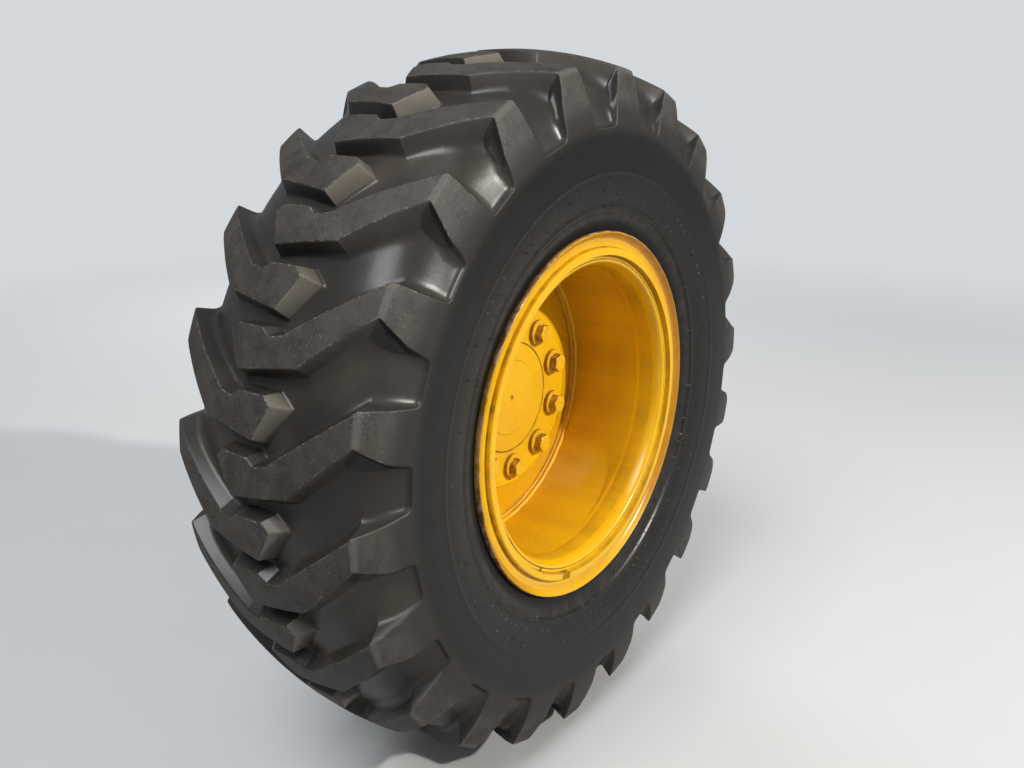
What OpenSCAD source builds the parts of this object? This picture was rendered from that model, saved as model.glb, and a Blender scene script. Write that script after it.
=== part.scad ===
// Rear wheel end of a motor grader: a bar-lug tyre on a five-piece rim, the disc that
// carries it, the driven axle shaft, and the spindle housing that bolts to the tandem case.
// The axle lies along Y. The housing's mounting face is at y = 0 and the wheel stands
// outboard of it, towards -Y. Z is up and the machine drives towards -X.

/* [Tyre] */
// Diameter over the lugs at the centre line
tyre_od = 1348; // [1200:2:1480]
// Width between the two sidewalls at their widest
section_w = 445; // [430:1:470]
// Width of the tread between its shoulder corners
tread_w = 400; // [380:1:410]
// How far the shoulder corners lie below the crown
crown_drop = 33; // [20:1:45]
// Depth of the grooves at the centre line
groove_depth = 28; // [18:1:36]
// Radius at which the shoulder pockets end on the sidewall
pocket_r = 540; // [525:1:555]
// Depth of the step at the foot of a shoulder pocket
pocket_step = 9; // [5:1:14]
// Thickness of rubber and plies under the grooves and in the sidewalls
carcass_t = 24; // [18:1:30]
// Lugs on each side of the tread
lug_count = 22; // [18:1:26]
// Length of the bead along its seat
bead_w = 50; // [40:1:55]
// Facets round the carcass for each lug
facets_per_lug = 2; // [2:1:4]

/* [Rim] */
// Width between the inner faces of the two flanges
rim_w = 356; // [340:1:365]
// Radius of the bead seats at the heel of the bead
seat_r = 317.5; // [312:0.5:320]
// Slope of the bead seats
seat_slope = 5; // [3:0.5:6]
// Height of each flange over the heel of its bead seat
flange_h = 38.5; // [34:0.5:42]
// Radius of the curl on the tyre's side of a flange
flange_curl_r = 15; // [12:0.5:18]
// Thickness of a flange
flange_t = 8; // [6:0.5:10]
// Height over the bead seat of the shoulder that holds a flange from outside
stop_h = 7.5; // [5:0.5:10]
// Thickness of the shoulder that holds a flange from outside
stop_t = 10; // [7:0.5:12]
// Thickness of the bead seat band at the heel of its seat
band_t = 11.5; // [10:0.5:14]
// Wall of the barrel
barrel_t = 9; // [6:0.5:12]
// Thickness of the gutter section at the outboard end
gutter_t = 16; // [13:0.5:20]
// Length of the thick gutter section
gutter_w = 52; // [44:1:60]
// How far the barrel's end stands outboard of the flange's inner face
gutter_reach = 8; // [4:0.5:12]
// Width of the bead seat band along its seat
band_w = 92; // [80:1:100]
// Width of the pry notch in the bead seat band
pry_notch_w = 27; // [15:1:40]
// Angle of the pry notch, seen from outboard, from the rear
pry_notch_deg = 254; // [0:1:359]
// Radial height of the lock ring's visible face
lock_face_h = 8; // [6:0.5:9]
// Gap where the lock ring is split
lock_split = 4; // [2:0.5:10]
// Angle of the split, seen from outboard, from the rear
lock_split_deg = 238; // [0:1:359]
// Thickness of the rubber ring that seals the band to the barrel
o_ring_d = 7; // [5:0.5:8]

/* [Disc] */
// Thickness of the disc
disc_t = 16; // [12:0.5:20]
// Distance of the flat pad's face inboard of the tyre's centre line
pad_inset = 5; // [0:1:20]
// From the wheel bolts' circle to the edge of the flat pad
pad_edge = 38; // [30:1:45]
// How far the disc's rim lies inboard of its pad
disc_dish = 46; // [35:1:60]
// Radius of the cord of weld at the barrel
weld_r = 6; // [4:0.5:8]
// Bolts that hold the wheel
wheel_bolt_count = 10; // [8:1:12]
// Diameter of the wheel bolts' circle
wheel_pcd = 300; // [290:1:310]
// Thread diameter of the wheel bolts
wheel_bolt_d = 22; // [18:1:24]
// Width across the flats of a wheel bolt's head
wheel_head_af = 34; // [30:1:38]
// Height of a wheel bolt's head
wheel_head_h = 17; // [12:1:22]
// Diameter of a wheel washer
wheel_washer_d = 54; // [46:1:58]
// Thickness of a wheel washer
wheel_washer_t = 9; // [6:0.5:12]

/* [Axle shaft] */
// From the wheel bolts' circle in to the pilot that centres the disc
pilot_room = 35; // [32:1:40]
// How far the pilot stands proud of the disc
pilot_proud = 1; // [0.5:0.5:4]
// Radius of the shallow turned step in the pilot's face
pilot_step_r = 78; // [60:1:90]
// From the wheel bolts' circle to the edge of the flange that carries the wheel
hub_flange_edge = 34; // [26:1:40]
// Thickness of the flange that carries the wheel
hub_flange_t = 26; // [20:1:32]
// Radius of the shaft at the outboard bearing
shaft_r = 60; // [52:1:66]
// Radius of the shaft at the inboard bearing
shaft_tail_r = 50; // [44:1:52]
// Radius of the splined end over its teeth
spline_r = 44; // [38:1:45]
// Teeth on the splined end
spline_teeth = 24; // [16:2:32]
// Depth of the spline's teeth
spline_depth = 4; // [2:0.5:5]
// How far the splined end reaches into the tandem case
spline_reach = 105; // [80:1:130]

/* [Spindle housing] */
// Distance from the mounting face to the tyre's centre line
wheel_offset = 300; // [290:1:340]
// From the mounting bolts' circle to the edge of the mounting flange
mount_edge = 25; // [18:1:40]
// Thickness of the mounting flange
mount_flange_t = 25; // [18:1:32]
// Diameter of the mounting bolts' circle
mount_pcd = 380; // [370:1:390]
// Mounting bolts
mount_bolt_count = 12; // [8:2:16]
// Radius of the mounting bolt holes
mount_hole_r = 9; // [7:0.5:11]
// From the mounting bolts' circle in to the spigot that enters the tandem case
spigot_room = 30; // [25:1:40]
// Length of the spigot
spigot_len = 12; // [8:1:20]
// From the mounting bolts' circle in to the neck behind the flange
neck_room = 50; // [40:1:58]
// Where the neck ends and the brake chamber begins, from the mounting face
neck_end = 62; // [56:1:70]
// Radius of the brake chamber
chamber_r = 176; // [170:1:182]
// Length of the cone from the neck to the brake chamber
chamber_cone = 30; // [20:1:40]
// How far the chamber's bolted rim and its cover stand out from the chamber
cover_edge = 24; // [22:1:30]
// Thickness of the chamber's bolted rim
chamber_rim_t = 18; // [14:1:24]
// Thickness of the chamber's cover
cover_t = 36; // [30:1:38]
// Bolts in the chamber's cover
cover_bolt_count = 16; // [10:2:20]
// Thread diameter of the cover bolts
cover_bolt_d = 12; // [10:1:14]
// Thickness of a rib
rib_t = 14; // [8:1:20]
// Wall of the bearings, from bore to outside
bearing_t = 30; // [22:1:34]
// Width of the bearings
bearing_w = 30; // [24:1:33]
// Distance from the chamber's cover to the flange that carries the wheel
seal_room = 17; // [12:1:24]
// Outer radius of the face seal
seal_r = 118; // [112:1:126]
// Radial thickness of the face seal
seal_t = 20; // [14:1:26]

/* [Clearances] */
// Gap round pieces that are pressed or clamped together
seat_gap = 0.1; // [0.05:0.05:0.2]
// Radial gap of the shaft in its bearings
running_gap = 0.05; // [0.02:0.01:0.08]
// Free space between turning and standing pieces
turning_gap = 5.5; // [5:0.5:8]

/* [Hidden] */
$fn = 96;

half_rim = rim_w / 2;
half_tread = tread_w / 2;
half_section = section_w / 2;
pitch = 360 / lug_count;
flange_lip_r = seat_r + flange_h;
stop_r = seat_r + stop_h;
barrel_r = seat_r - band_t;
gutter_bore_r = barrel_r - gutter_t;
pad_r = wheel_pcd / 2 + pad_edge;
pilot_r = wheel_pcd / 2 - pilot_room;
hub_flange_r = wheel_pcd / 2 + hub_flange_edge;
mount_flange_r = mount_pcd / 2 + mount_edge;
spigot_r = mount_pcd / 2 - spigot_room;
neck_r = mount_pcd / 2 - neck_room;
cover_r = chamber_r + cover_edge;
pad_face = wheel_offset - pad_inset;
pad_back = pad_face - disc_t;
hub_back = pad_back - hub_flange_t;
barrel_bore_r = barrel_r - barrel_t;
barrel_end = half_rim + gutter_reach;
hex_to_round = 1 / cos(30);

// Turns a profile or body drawn along +Z, outboard, so that its axis is the axle
module on_axle() rotate([90, 0, 0]) children();
// The same, measured from the tyre's centre line
module on_wheel() on_axle() translate([0, 0, wheel_offset]) children();
// Copies a body round the axle
module ring_of(count, radius, start = 0)
    for (i = [0 : count - 1]) rotate([0, 0, start + i * 360 / count])
        translate([radius, 0, 0]) children();

// Crown of the tread at a distance across it, as a parabola
function crown_r(across) = tyre_od / 2 - crown_drop * pow(across / half_tread, 2);
// Rubber has flat facets, so its radii over metal are raised to clear the metal between corners
carcass_facets = lug_count * facets_per_lug;
function over_metal(radius) = (radius + seat_gap) / cos(180 / carcass_facets);
function seat_radius(from_heel) = seat_r - from_heel * tan(seat_slope);

// Outline of one outboard lug, round its top face and down its end on the sidewall. Columns:
// along and around at the top of the lug, then along and around at its foot. Along counts half
// tread widths from the centre line up to 1 at the shoulder corner, and from there to 2 at the
// foot of the shoulder pockets. Around counts lug pitches from the upper shoulder corner.
lug_outline = [
    // Upper edge, from the pocket's rounded corner over the shoulder to the nose
    [ 2.08, -0.150,  2.08, -0.190],
    [ 1.97, -0.095,  1.95, -0.140],
    [ 1.86, -0.060,  1.86, -0.110],
    [ 1.50, -0.030,  1.50, -0.080],
    [ 1.00,  0.000,  1.00, -0.052],
    [ 0.70,  0.250,  0.69,  0.190],
    [ 0.28,  0.575,  0.27,  0.512],
    [ 0.15,  0.605,  0.16,  0.555],
    // Notch and hooked nose
    [ 0.07,  0.545,  0.09,  0.500],
    [-0.21,  0.540, -0.24,  0.500],
    [-0.26,  0.575, -0.34,  0.555],
    [-0.27,  0.650, -0.37,  0.655],
    [-0.15,  0.870, -0.21,  0.905],
    [-0.09,  0.899, -0.13,  0.955],
    // Lower edge, back over the shoulder to the next pocket
    [ 0.43,  0.807,  0.44,  0.865],
    [ 0.51,  0.765,  0.53,  0.825],
    [ 0.70,  0.580,  0.71,  0.655],
    [ 0.95,  0.335,  0.95,  0.400],
    [ 1.06,  0.300,  1.06,  0.365],
    [ 1.50,  0.430,  1.50,  0.490],
    [ 1.86,  0.462,  1.86,  0.515],
    [ 1.97,  0.495,  1.95,  0.545],
    [ 2.08,  0.550,  2.08,  0.590]];
// Flat patches of a lug's top, as rows of the outline in order round each patch
lug_patches = [[0, 1, 21, 22], [1, 2, 20, 21], [2, 3, 19, 20], [3, 4, 18, 19], [4, 5, 16, 17, 18],
               [5, 6, 15, 16], [6, 7, 14, 15], [7, 8, 9, 10, 11, 12, 13, 14]];
// Share of a lug's wall over the round at its foot
lug_wall_share = 0.72;
// How far the round reaches past the foot, as a share of the wall's draft
lug_foot_reach = 0.5;
// Share of the sidewall's swell that is reached halfway down a lug's end
lug_end_swell = 0.66;

// Floor of the grooves and pockets, as [across, radius]
tread_floor = [
    [0, crown_r(0) - groove_depth],
    [half_tread * 0.72, crown_r(half_tread * 0.72) - groove_depth],
    [half_tread - groove_depth * 0.3, crown_r(half_tread) - groove_depth * 1.5],
    [half_section - pocket_step, pocket_r]];
shoulder_floor = tread_floor[2];
pocket_floor = tread_floor[3];

function polar(radius, degrees, across) = [radius * cos(degrees), radius * sin(degrees), across];
// Distance across and radius at a place along the lug's top, just flush with the sidewall
function top_place(along) = along <= 1 ? [along * half_tread, crown_r(along * half_tread)]
    : let (end = min(along, 2) - 1, swell = half_section - seat_gap * 3 - half_tread)
        [half_tread + swell * end * (end <= 0.5 ? 2 * lug_end_swell
            : 1 + (2 * lug_end_swell - 1) * (1 - end) * 2),
         crown_r(half_tread) + (along - 1) * (pocket_r - crown_r(half_tread))];
// The same on the floor of the grooves and pockets
function floor_place(along) = along <= 1
    ? let (across = along * shoulder_floor[0])
        [across, lookup(abs(across), [for (k = [0 : 2]) tread_floor[k]])]
    : shoulder_floor + (along - 1) * (pocket_floor - shoulder_floor);
// How far the foot of a lug is set into the carcass
lug_root = [-groove_depth * 0.1, -groove_depth * 0.12];

function on_tread(place, around) = polar(place[1], around * pitch, place[0]);

// A lug is three rings of points: its top edge, the start of the round at its foot, and the
// outer edge of that round, set into the carcass
module lug() {
    rows = len(lug_outline);
    tops = [for (p = lug_outline) on_tread(top_place(p[0]), p[1])];
    walls = [for (p = lug_outline) on_tread(
        top_place(p[0]) + lug_wall_share * (floor_place(p[2]) - top_place(p[0])),
        p[1] + lug_wall_share * (p[3] - p[1]))];
    feet = [for (p = lug_outline) on_tread(
        floor_place(p[2] + lug_foot_reach * (p[2] - p[0])) + lug_root * (p[0] > 1 ? 1 : 0)
            + [0, lug_root[1] * (p[0] > 1 ? 0 : 1)],
        p[3] + lug_foot_reach * (p[3] - p[1]))];
    sides = [for (ring = [0, rows], i = [0 : rows - 1]) let (j = (i + 1) % rows)
        each [[ring + i, ring + j, ring + rows + i], [ring + j, ring + rows + j, ring + rows + i]]];
    fans = [for (patch = lug_patches, k = [1 : len(patch) - 2]) [patch[0], patch[k + 1], patch[k]]];
    soles = [for (f = fans) [f[2] + 2 * rows, f[1] + 2 * rows, f[0] + 2 * rows]];
    polyhedron(concat(tops, walls, feet), concat(fans, sides, soles));
}

// The rubber meets a flange's curl on the tangent at 45 degrees
curl_tangent = 2 - sqrt(2);
curl_across = half_rim + flange_curl_r * curl_tangent;
// A place on the sidewall: its height as a share of the way from the flange's lip to the foot of
// the pockets, and its bulge as a share of the way from the flange to the widest place
function wall_r(height) = flange_lip_r + height * (pocket_r - flange_lip_r);
function wall_across(bulge) = curl_across + bulge * (half_section - curl_across);
// Outside of the carcass from the centre line to the bead's toe, as [across, radius], with a low
// rib that guards the flange
carcass_outside = [
    each tread_floor,
    [half_section, wall_r(0.96)],
    [half_section - 0.5, wall_r(0.82)],
    [wall_across(0.93), wall_r(0.60)],
    [wall_across(0.74), wall_r(0.43)],
    [wall_across(0.50), wall_r(0.26)],
    [wall_across(0.53), wall_r(0.24)],
    [wall_across(0.51), wall_r(0.21)],
    [wall_across(0.38), wall_r(0.20)],
    [wall_across(0.26), wall_r(0.10)],
    [curl_across, over_metal(flange_lip_r)],
    [half_rim - seat_gap, over_metal(flange_lip_r) - flange_curl_r * curl_tangent],
    [half_rim - seat_gap, over_metal(seat_radius(0))],
    [half_rim - bead_w, over_metal(seat_radius(bead_w))]];
// Inside of the carcass from the bead's toe back to the centre line
carcass_inside = [
    [wall_across(0.60) - carcass_t, wall_r(0.35)],
    [half_section - carcass_t, wall_r(0.84)],
    [half_tread * 0.72, crown_r(half_tread * 0.72) - groove_depth - carcass_t],
    [0, crown_r(0) - groove_depth - carcass_t]];

function across_zero(p) = abs(p[0]) < 0.001;
module carcass() {
    half = concat(carcass_outside, carcass_inside);
    rotate_extrude($fn = carcass_facets) polygon(concat(
        [for (p = half) [p[1], p[0]]],
        [for (i = [len(half) - 1 : -1 : 0]) if (!across_zero(half[i])) [half[i][1], -half[i][0]]]));
}

module tyre() color([0.13, 0.13, 0.14]) on_wheel() {
    carcass();
    for (i = [0 : lug_count - 1]) {
        rotate([0, 0, i * pitch]) lug();
        rotate([0, 0, (i + 0.5) * pitch]) mirror([0, 0, 1]) lug();
    }
}

// Cross section of a flange, as [radius, across] from the flange's tyre face
module flange_section() {
    curl_c = [flange_lip_r - flange_curl_r, flange_curl_r];
    foot = seat_radius(0) + seat_gap;
    union() {
        translate([foot, 0]) square([curl_c[0] - foot, flange_t]);
        intersection() {
            difference() {
                translate(curl_c) circle(flange_curl_r);
                translate(curl_c) circle(flange_curl_r - flange_t);
            }
            translate([curl_c[0], 0]) square([flange_curl_r, flange_curl_r + 4]);
        }
    }
}

module front_flange() color([0.93, 0.68, 0.13]) on_wheel()
    translate([0, 0, half_rim]) rotate_extrude() flange_section();

module back_flange() color([0.93, 0.68, 0.13]) on_wheel()
    mirror([0, 0, 1]) translate([0, 0, half_rim]) rotate_extrude() flange_section();

// Where the lock ring sits, measured along the barrel from the tyre's centre line
lock_back = half_rim - 12;
lock_front = half_rim + 4;
lock_root_r = barrel_r - 4;
lock_face_r = lock_root_r + lock_face_h;
o_ring_at = half_rim - 36;

module rim_base() color([0.90, 0.64, 0.10]) on_wheel() rotate_extrude() {
    back_seat_end = half_rim - band_w;
    difference() {
        polygon([
            [barrel_bore_r, -half_rim - flange_t - stop_t],
            [stop_r, -half_rim - flange_t - stop_t],
            [stop_r, -half_rim - flange_t],
            [seat_radius(0), -half_rim - flange_t],
            [seat_radius(0), -half_rim],
            [seat_radius(bead_w), -half_rim + bead_w],
            [barrel_r, -back_seat_end],
            [barrel_r, lock_back],
            [lock_root_r, lock_back + 2],
            [lock_root_r, lock_front],
            [lock_root_r + 1.5, lock_front + 1],
            [lock_root_r + 1.5, barrel_end],
            [gutter_bore_r + 2, barrel_end],
            [gutter_bore_r, barrel_end - 3],
            [gutter_bore_r, barrel_end - gutter_w],
            [barrel_bore_r, barrel_end - gutter_w - 14]]);
        // Groove for the sealing ring
        translate([barrel_r - o_ring_d, o_ring_at - o_ring_d / 2 - 1])
            square([o_ring_d, o_ring_d + 2]);
    }
}

module bead_seat_band() color([0.93, 0.68, 0.13]) on_wheel() difference() {
    rotate_extrude() polygon([
        [barrel_r + seat_gap, half_rim - band_w],
        [seat_radius(band_w), half_rim - band_w],
        [seat_radius(0), half_rim],
        [seat_radius(0), half_rim + flange_t],
        [stop_r, half_rim + flange_t],
        [stop_r, half_rim + flange_t + stop_t - 2],
        [stop_r - 2, half_rim + flange_t + stop_t],
        [lock_face_r + 1.5, half_rim + flange_t + stop_t],
        [lock_face_r + seat_gap, lock_front - 2],
        [barrel_r + seat_gap, lock_back]]);
    // Notch for the pry bar
    rotate([0, 0, pry_notch_deg]) translate([stop_r - 15, -pry_notch_w / 2, half_rim + flange_t + 3])
        cube([13, pry_notch_w, stop_t]);
}

module lock_ring() color([0.93, 0.68, 0.13]) on_wheel() difference() {
    rotate_extrude() polygon([
        [lock_root_r + seat_gap, lock_back + 3],
        [barrel_r, lock_back + 1],
        [lock_face_r, lock_front - 2],
        [lock_face_r, lock_front + 4],
        [lock_root_r + 2, lock_front + 4],
        [lock_root_r + 2, lock_front],
        [lock_root_r + seat_gap, lock_front - 1]]);
    rotate([0, 0, lock_split_deg])
        translate([lock_root_r - lock_face_h, -lock_split / 2, lock_back - lock_face_h])
            cube([lock_face_h * 3, lock_split, lock_face_h * 5]);
}

module o_ring() color([0.1, 0.1, 0.1]) on_wheel() rotate_extrude()
    translate([barrel_r - o_ring_d / 2 + seat_gap, o_ring_at])
        circle(o_ring_d / 2 - seat_gap, $fn = 24);

// The disc: flat pad, cone and rim, with the two cords of weld that join it to the barrel
module wheel_disc() color([0.93, 0.66, 0.12]) on_axle() difference() {
    rim_face = pad_face - disc_dish;
    edge_r = barrel_bore_r - seat_gap;
    union() {
        rotate_extrude() polygon([
            [pilot_r + seat_gap, pad_back],
            [pilot_r + seat_gap, pad_face],
            [pad_r, pad_face],
            [pad_r + 8, pad_face - 5],
            [edge_r - 12, rim_face],
            [edge_r, rim_face],
            [edge_r, rim_face - disc_t],
            [edge_r - 16, rim_face - disc_t],
            [pad_r + 3, pad_back]]);
        rotate_extrude() intersection() {
            union() {
                translate([edge_r - 2, rim_face + 1]) circle(weld_r, $fn = 24);
                translate([edge_r, rim_face + 10]) circle(weld_r - 1, $fn = 24);
                translate([edge_r - 1, rim_face - disc_t]) circle(weld_r, $fn = 24);
            }
            translate([0, rim_face - disc_t * 2]) square([edge_r, disc_t * 4]);
        }
    }
    ring_of(wheel_bolt_count, wheel_pcd / 2, 90) translate([0, 0, pad_back - 1])
        cylinder(r = wheel_bolt_d / 2 + 1, h = disc_t + 2, $fn = 32);
}

module wheel_washers() color([0.80, 0.58, 0.14]) on_axle()
    ring_of(wheel_bolt_count, wheel_pcd / 2, 90) translate([0, 0, pad_face]) difference() {
        cylinder(d = wheel_washer_d, h = wheel_washer_t, $fn = 48);
        translate([0, 0, -1]) cylinder(r = wheel_bolt_d / 2 + 1, h = wheel_washer_t + 2, $fn = 32);
    }

module wheel_bolts() color([0.88, 0.64, 0.14]) on_axle()
    ring_of(wheel_bolt_count, wheel_pcd / 2, 90) translate([0, 0, pad_face + wheel_washer_t]) {
        cylinder(d = wheel_head_af * hex_to_round, h = wheel_head_h, $fn = 6);
        translate([0, 0, 0.01 - wheel_washer_t - disc_t - hub_flange_t])
            cylinder(d = wheel_bolt_d, h = wheel_washer_t + disc_t + hub_flange_t, $fn = 32);
    }

// Positions along the housing, outboard from its mounting face
cover_end = hub_back - seal_room;
chamber_end = cover_end - cover_t;
port_at = (neck_end + chamber_cone + chamber_end) / 2 - 16;
brake_port_deg = 60;
bleed_screw_deg = 110;
seal_end = hub_back - turning_gap;
outboard_bearing_at = cover_end - bearing_w;
inboard_bearing_at = 8;
shaft_nut_w = 20;

module axle_shaft() color([0.90, 0.64, 0.12]) on_axle() difference() {
    rotate_extrude() polygon([
        [0, pad_face + pilot_proud],
        [pilot_step_r, pad_face + pilot_proud],
        [pilot_step_r + 1, pad_face + pilot_proud - 1],
        [pilot_r - 2, pad_face + pilot_proud - 1],
        [pilot_r, pad_face - 2],
        [pilot_r, pad_back],
        [hub_flange_r, pad_back],
        [hub_flange_r, hub_back + 4],
        [hub_flange_r - 4, hub_back],
        [shaft_r + 26, hub_back],
        [shaft_r + 8, hub_back - 4],
        [shaft_r, hub_back - 12],
        [shaft_r, outboard_bearing_at - bearing_w * 0.4],
        [shaft_tail_r, outboard_bearing_at - bearing_w * 1.4],
        [shaft_tail_r, -shaft_nut_w - 4],
        [spline_r, -shaft_nut_w - 8],
        [spline_r, 2 - spline_reach],
        [spline_r - 2, -spline_reach],
        [0, -spline_reach]]);
    ring_of(spline_teeth, spline_r - spline_depth) spline_gap();
    ring_of(wheel_bolt_count, wheel_pcd / 2, 90) translate([0, 0, hub_back - 1])
        cylinder(r = wheel_bolt_d / 2 + seat_gap, h = hub_flange_t + 2, $fn = 32);
    // Centre drilling left by the lathe
    translate([0, 0, pad_face + pilot_proud - 6]) cylinder(r1 = 0.5, r2 = 5, h = 6.01, $fn = 24);
}

// Room between two teeth of the splined end
module spline_gap() {
    root_w = PI * (spline_r - spline_depth) / spline_teeth;
    translate([0, 0, -spline_reach - 1]) linear_extrude(spline_reach - shaft_nut_w - 19)
        polygon([[0, -root_w * 0.42], [spline_depth + 2, -root_w * 0.75],
                 [spline_depth + 2, root_w * 0.75], [0, root_w * 0.42]]);
}

module shaft_nut() color([0.55, 0.56, 0.58]) on_axle() difference() {
    translate([0, 0, -shaft_nut_w]) cylinder(r = shaft_tail_r + 22, h = shaft_nut_w);
    translate([0, 0, -shaft_nut_w - 1]) cylinder(r = shaft_tail_r + seat_gap, h = shaft_nut_w + 2);
    // Slots for the spanner
    for (i = [0 : 3]) rotate([0, 0, 45 + i * 90]) translate([shaft_tail_r + 14, -6, -shaft_nut_w - 1])
        cube([20, 12, shaft_nut_w + 2]);
}

module spindle_housing() color([0.88, 0.62, 0.12]) on_axle() difference() {
    rim_back = chamber_end - chamber_rim_t;
    bearing_seat_r = shaft_tail_r + running_gap + bearing_t + seat_gap;
    shaft_room_r = shaft_r + 12;
    union() {
        rotate_extrude() polygon([
            [bearing_seat_r, 0],
            [spigot_r - 18, -spigot_len],
            [spigot_r - 2, -spigot_len],
            [spigot_r, -spigot_len + 2],
            [spigot_r, 0],
            [mount_flange_r, 0],
            [mount_flange_r, mount_flange_t - 3],
            [mount_flange_r - 3, mount_flange_t],
            [neck_r + 12, mount_flange_t],
            [neck_r, mount_flange_t + 12],
            [neck_r, neck_end],
            [chamber_r - 6, neck_end + chamber_cone * 0.73],
            [chamber_r, neck_end + chamber_cone],
            [chamber_r, rim_back - 6],
            [cover_r - 3, rim_back],
            [cover_r, rim_back + 3],
            [cover_r, chamber_end],
            [shaft_room_r, chamber_end],
            [shaft_room_r, inboard_bearing_at + bearing_w],
            [bearing_seat_r, inboard_bearing_at + bearing_w]]);
        // A rib stands in every other gap between the mounting bolts
        ring_of(mount_bolt_count / 2, 0, 180 / mount_bolt_count) rib();
        rotate([0, 0, brake_port_deg]) translate([0, 0, port_at]) port_boss();
        rotate([0, 0, bleed_screw_deg]) translate([0, 0, port_at]) port_boss();
    }
    ring_of(mount_bolt_count, mount_pcd / 2) translate([0, 0, -1])
        cylinder(r = mount_hole_r, h = mount_flange_t + 2, $fn = 32);
}

module port_boss() rotate([0, 90, 0]) translate([0, 0, chamber_r - 20])
    cylinder(r = 18, h = 30, $fn = 32);

// Web between the mounting flange and the brake chamber
module rib() rotate([90, 0, 0]) translate([0, 0, -rib_t / 2]) linear_extrude(rib_t)
    polygon([[neck_r - 10, mount_flange_t - 2], [mount_flange_r - 26, mount_flange_t - 2],
             [chamber_r - 8, neck_end + chamber_cone - 2], [neck_r - 10, neck_end + chamber_cone - 2]]);

module chamber_cover() color([0.88, 0.62, 0.12]) on_axle() difference() {
    rotate_extrude() polygon([
        [shaft_r + running_gap + bearing_t + seat_gap, chamber_end],
        [cover_r, chamber_end],
        [cover_r, chamber_end + cover_t / 2 - 4],
        [cover_r - 4, chamber_end + cover_t / 2],
        [cover_r - 28, chamber_end + cover_t / 2],
        [seal_r + 18, chamber_end + cover_t / 2 + 2],
        [seal_r + 8, cover_end],
        [shaft_r + running_gap + bearing_t + seat_gap, cover_end]]);
    ring_of(cover_bolt_count, cover_r - 14) translate([0, 0, chamber_end - 1])
        cylinder(r = cover_bolt_d / 2 + 0.5, h = cover_t, $fn = 24);
}

module cover_bolts() color([0.80, 0.58, 0.14]) on_axle()
    ring_of(cover_bolt_count, cover_r - 14) translate([0, 0, chamber_end]) {
        translate([0, 0, cover_t / 2 + seat_gap])
            cylinder(d = cover_bolt_d * 1.6 * hex_to_round, h = cover_bolt_d * 0.67, $fn = 6);
        translate([0, 0, 0.2]) cylinder(d = cover_bolt_d, h = cover_t / 2 + 1, $fn = 24);
    }

module bearing(bore_r) difference() {
    cylinder(r = bore_r + bearing_t, h = bearing_w);
    translate([0, 0, -1]) cylinder(r = bore_r, h = bearing_w + 2);
    // Open ring between the inner and the outer race
    translate([0, 0, -1]) ring_cut(bore_r);
    translate([0, 0, bearing_w - 4]) ring_cut(bore_r);
}
module ring_cut(bore_r) difference() {
    cylinder(r = bore_r + bearing_t * 0.68, h = 5);
    translate([0, 0, -1]) cylinder(r = bore_r + bearing_t * 0.35, h = 7);
}

module outboard_bearing() color([0.7, 0.71, 0.73]) on_axle()
    translate([0, 0, outboard_bearing_at]) bearing(shaft_r + running_gap);

module inboard_bearing() color([0.7, 0.71, 0.73]) on_axle()
    translate([0, 0, inboard_bearing_at]) bearing(shaft_tail_r + running_gap);

module face_seal() color([0.35, 0.35, 0.37]) on_axle() rotate_extrude() polygon([
    [seal_r - seal_t, cover_end],
    [seal_r, cover_end],
    [seal_r, seal_end - 2],
    [seal_r - 2, seal_end],
    [seal_r - seal_t, seal_end]]);

module brake_port() color([0.62, 0.63, 0.65]) on_axle() rotate([0, 0, brake_port_deg])
    translate([0, 0, port_at]) rotate([0, 90, 0]) translate([0, 0, chamber_r + 10]) {
        cylinder(d = 24 * hex_to_round, h = 12, $fn = 6);
        translate([0, 0, 11]) cylinder(r = 8, h = 14, $fn = 24);
    }

module bleed_screw() color([0.62, 0.63, 0.65]) on_axle() rotate([0, 0, bleed_screw_deg])
    translate([0, 0, port_at]) rotate([0, 90, 0]) translate([0, 0, chamber_r + 10]) {
        cylinder(d = 13 * hex_to_round, h = 9, $fn = 6);
        translate([0, 0, 8]) cylinder(r = 4, h = 12, $fn = 24);
    }

module valve_stem() color([0.5, 0.45, 0.3]) on_wheel() rotate([0, 0, 270])
    translate([barrel_bore_r - 0.3, 0, -half_rim * 0.53]) rotate([0, -90, 0]) {
        cylinder(r = 12, h = 6, $fn = 32);
        cylinder(r = 6, h = 34, $fn = 32);
        translate([0, 0, 30]) cylinder(r = 8, h = 16, $fn = 32);
    }

spindle_housing();
chamber_cover();
cover_bolts();
face_seal();
outboard_bearing();
inboard_bearing();
brake_port();
bleed_screw();
axle_shaft();
shaft_nut();
wheel_disc();
wheel_washers();
wheel_bolts();
rim_base();
back_flange();
front_flange();
bead_seat_band();
lock_ring();
o_ring();
valve_stem();
tyre();
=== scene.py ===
# %% [markdown]
# # Rear wheel end of a motor grader
# The photograph shows a grader's rear wheel from close by: a bar-lug tyre, a five-piece rim with a
# deep dish, and ten bolts round a turned hub face. Behind it, out of sight, is the spindle housing
# that carries it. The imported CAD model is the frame, and here each surface that shows gets its
# rounded edges, its small parts and its finish. All lengths are metres.

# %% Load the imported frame
import math
import random
import bpy
import bmesh
from mathutils import Matrix, Vector
from mathutils.geometry import delaunay_2d_cdt, intersect_point_line


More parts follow.
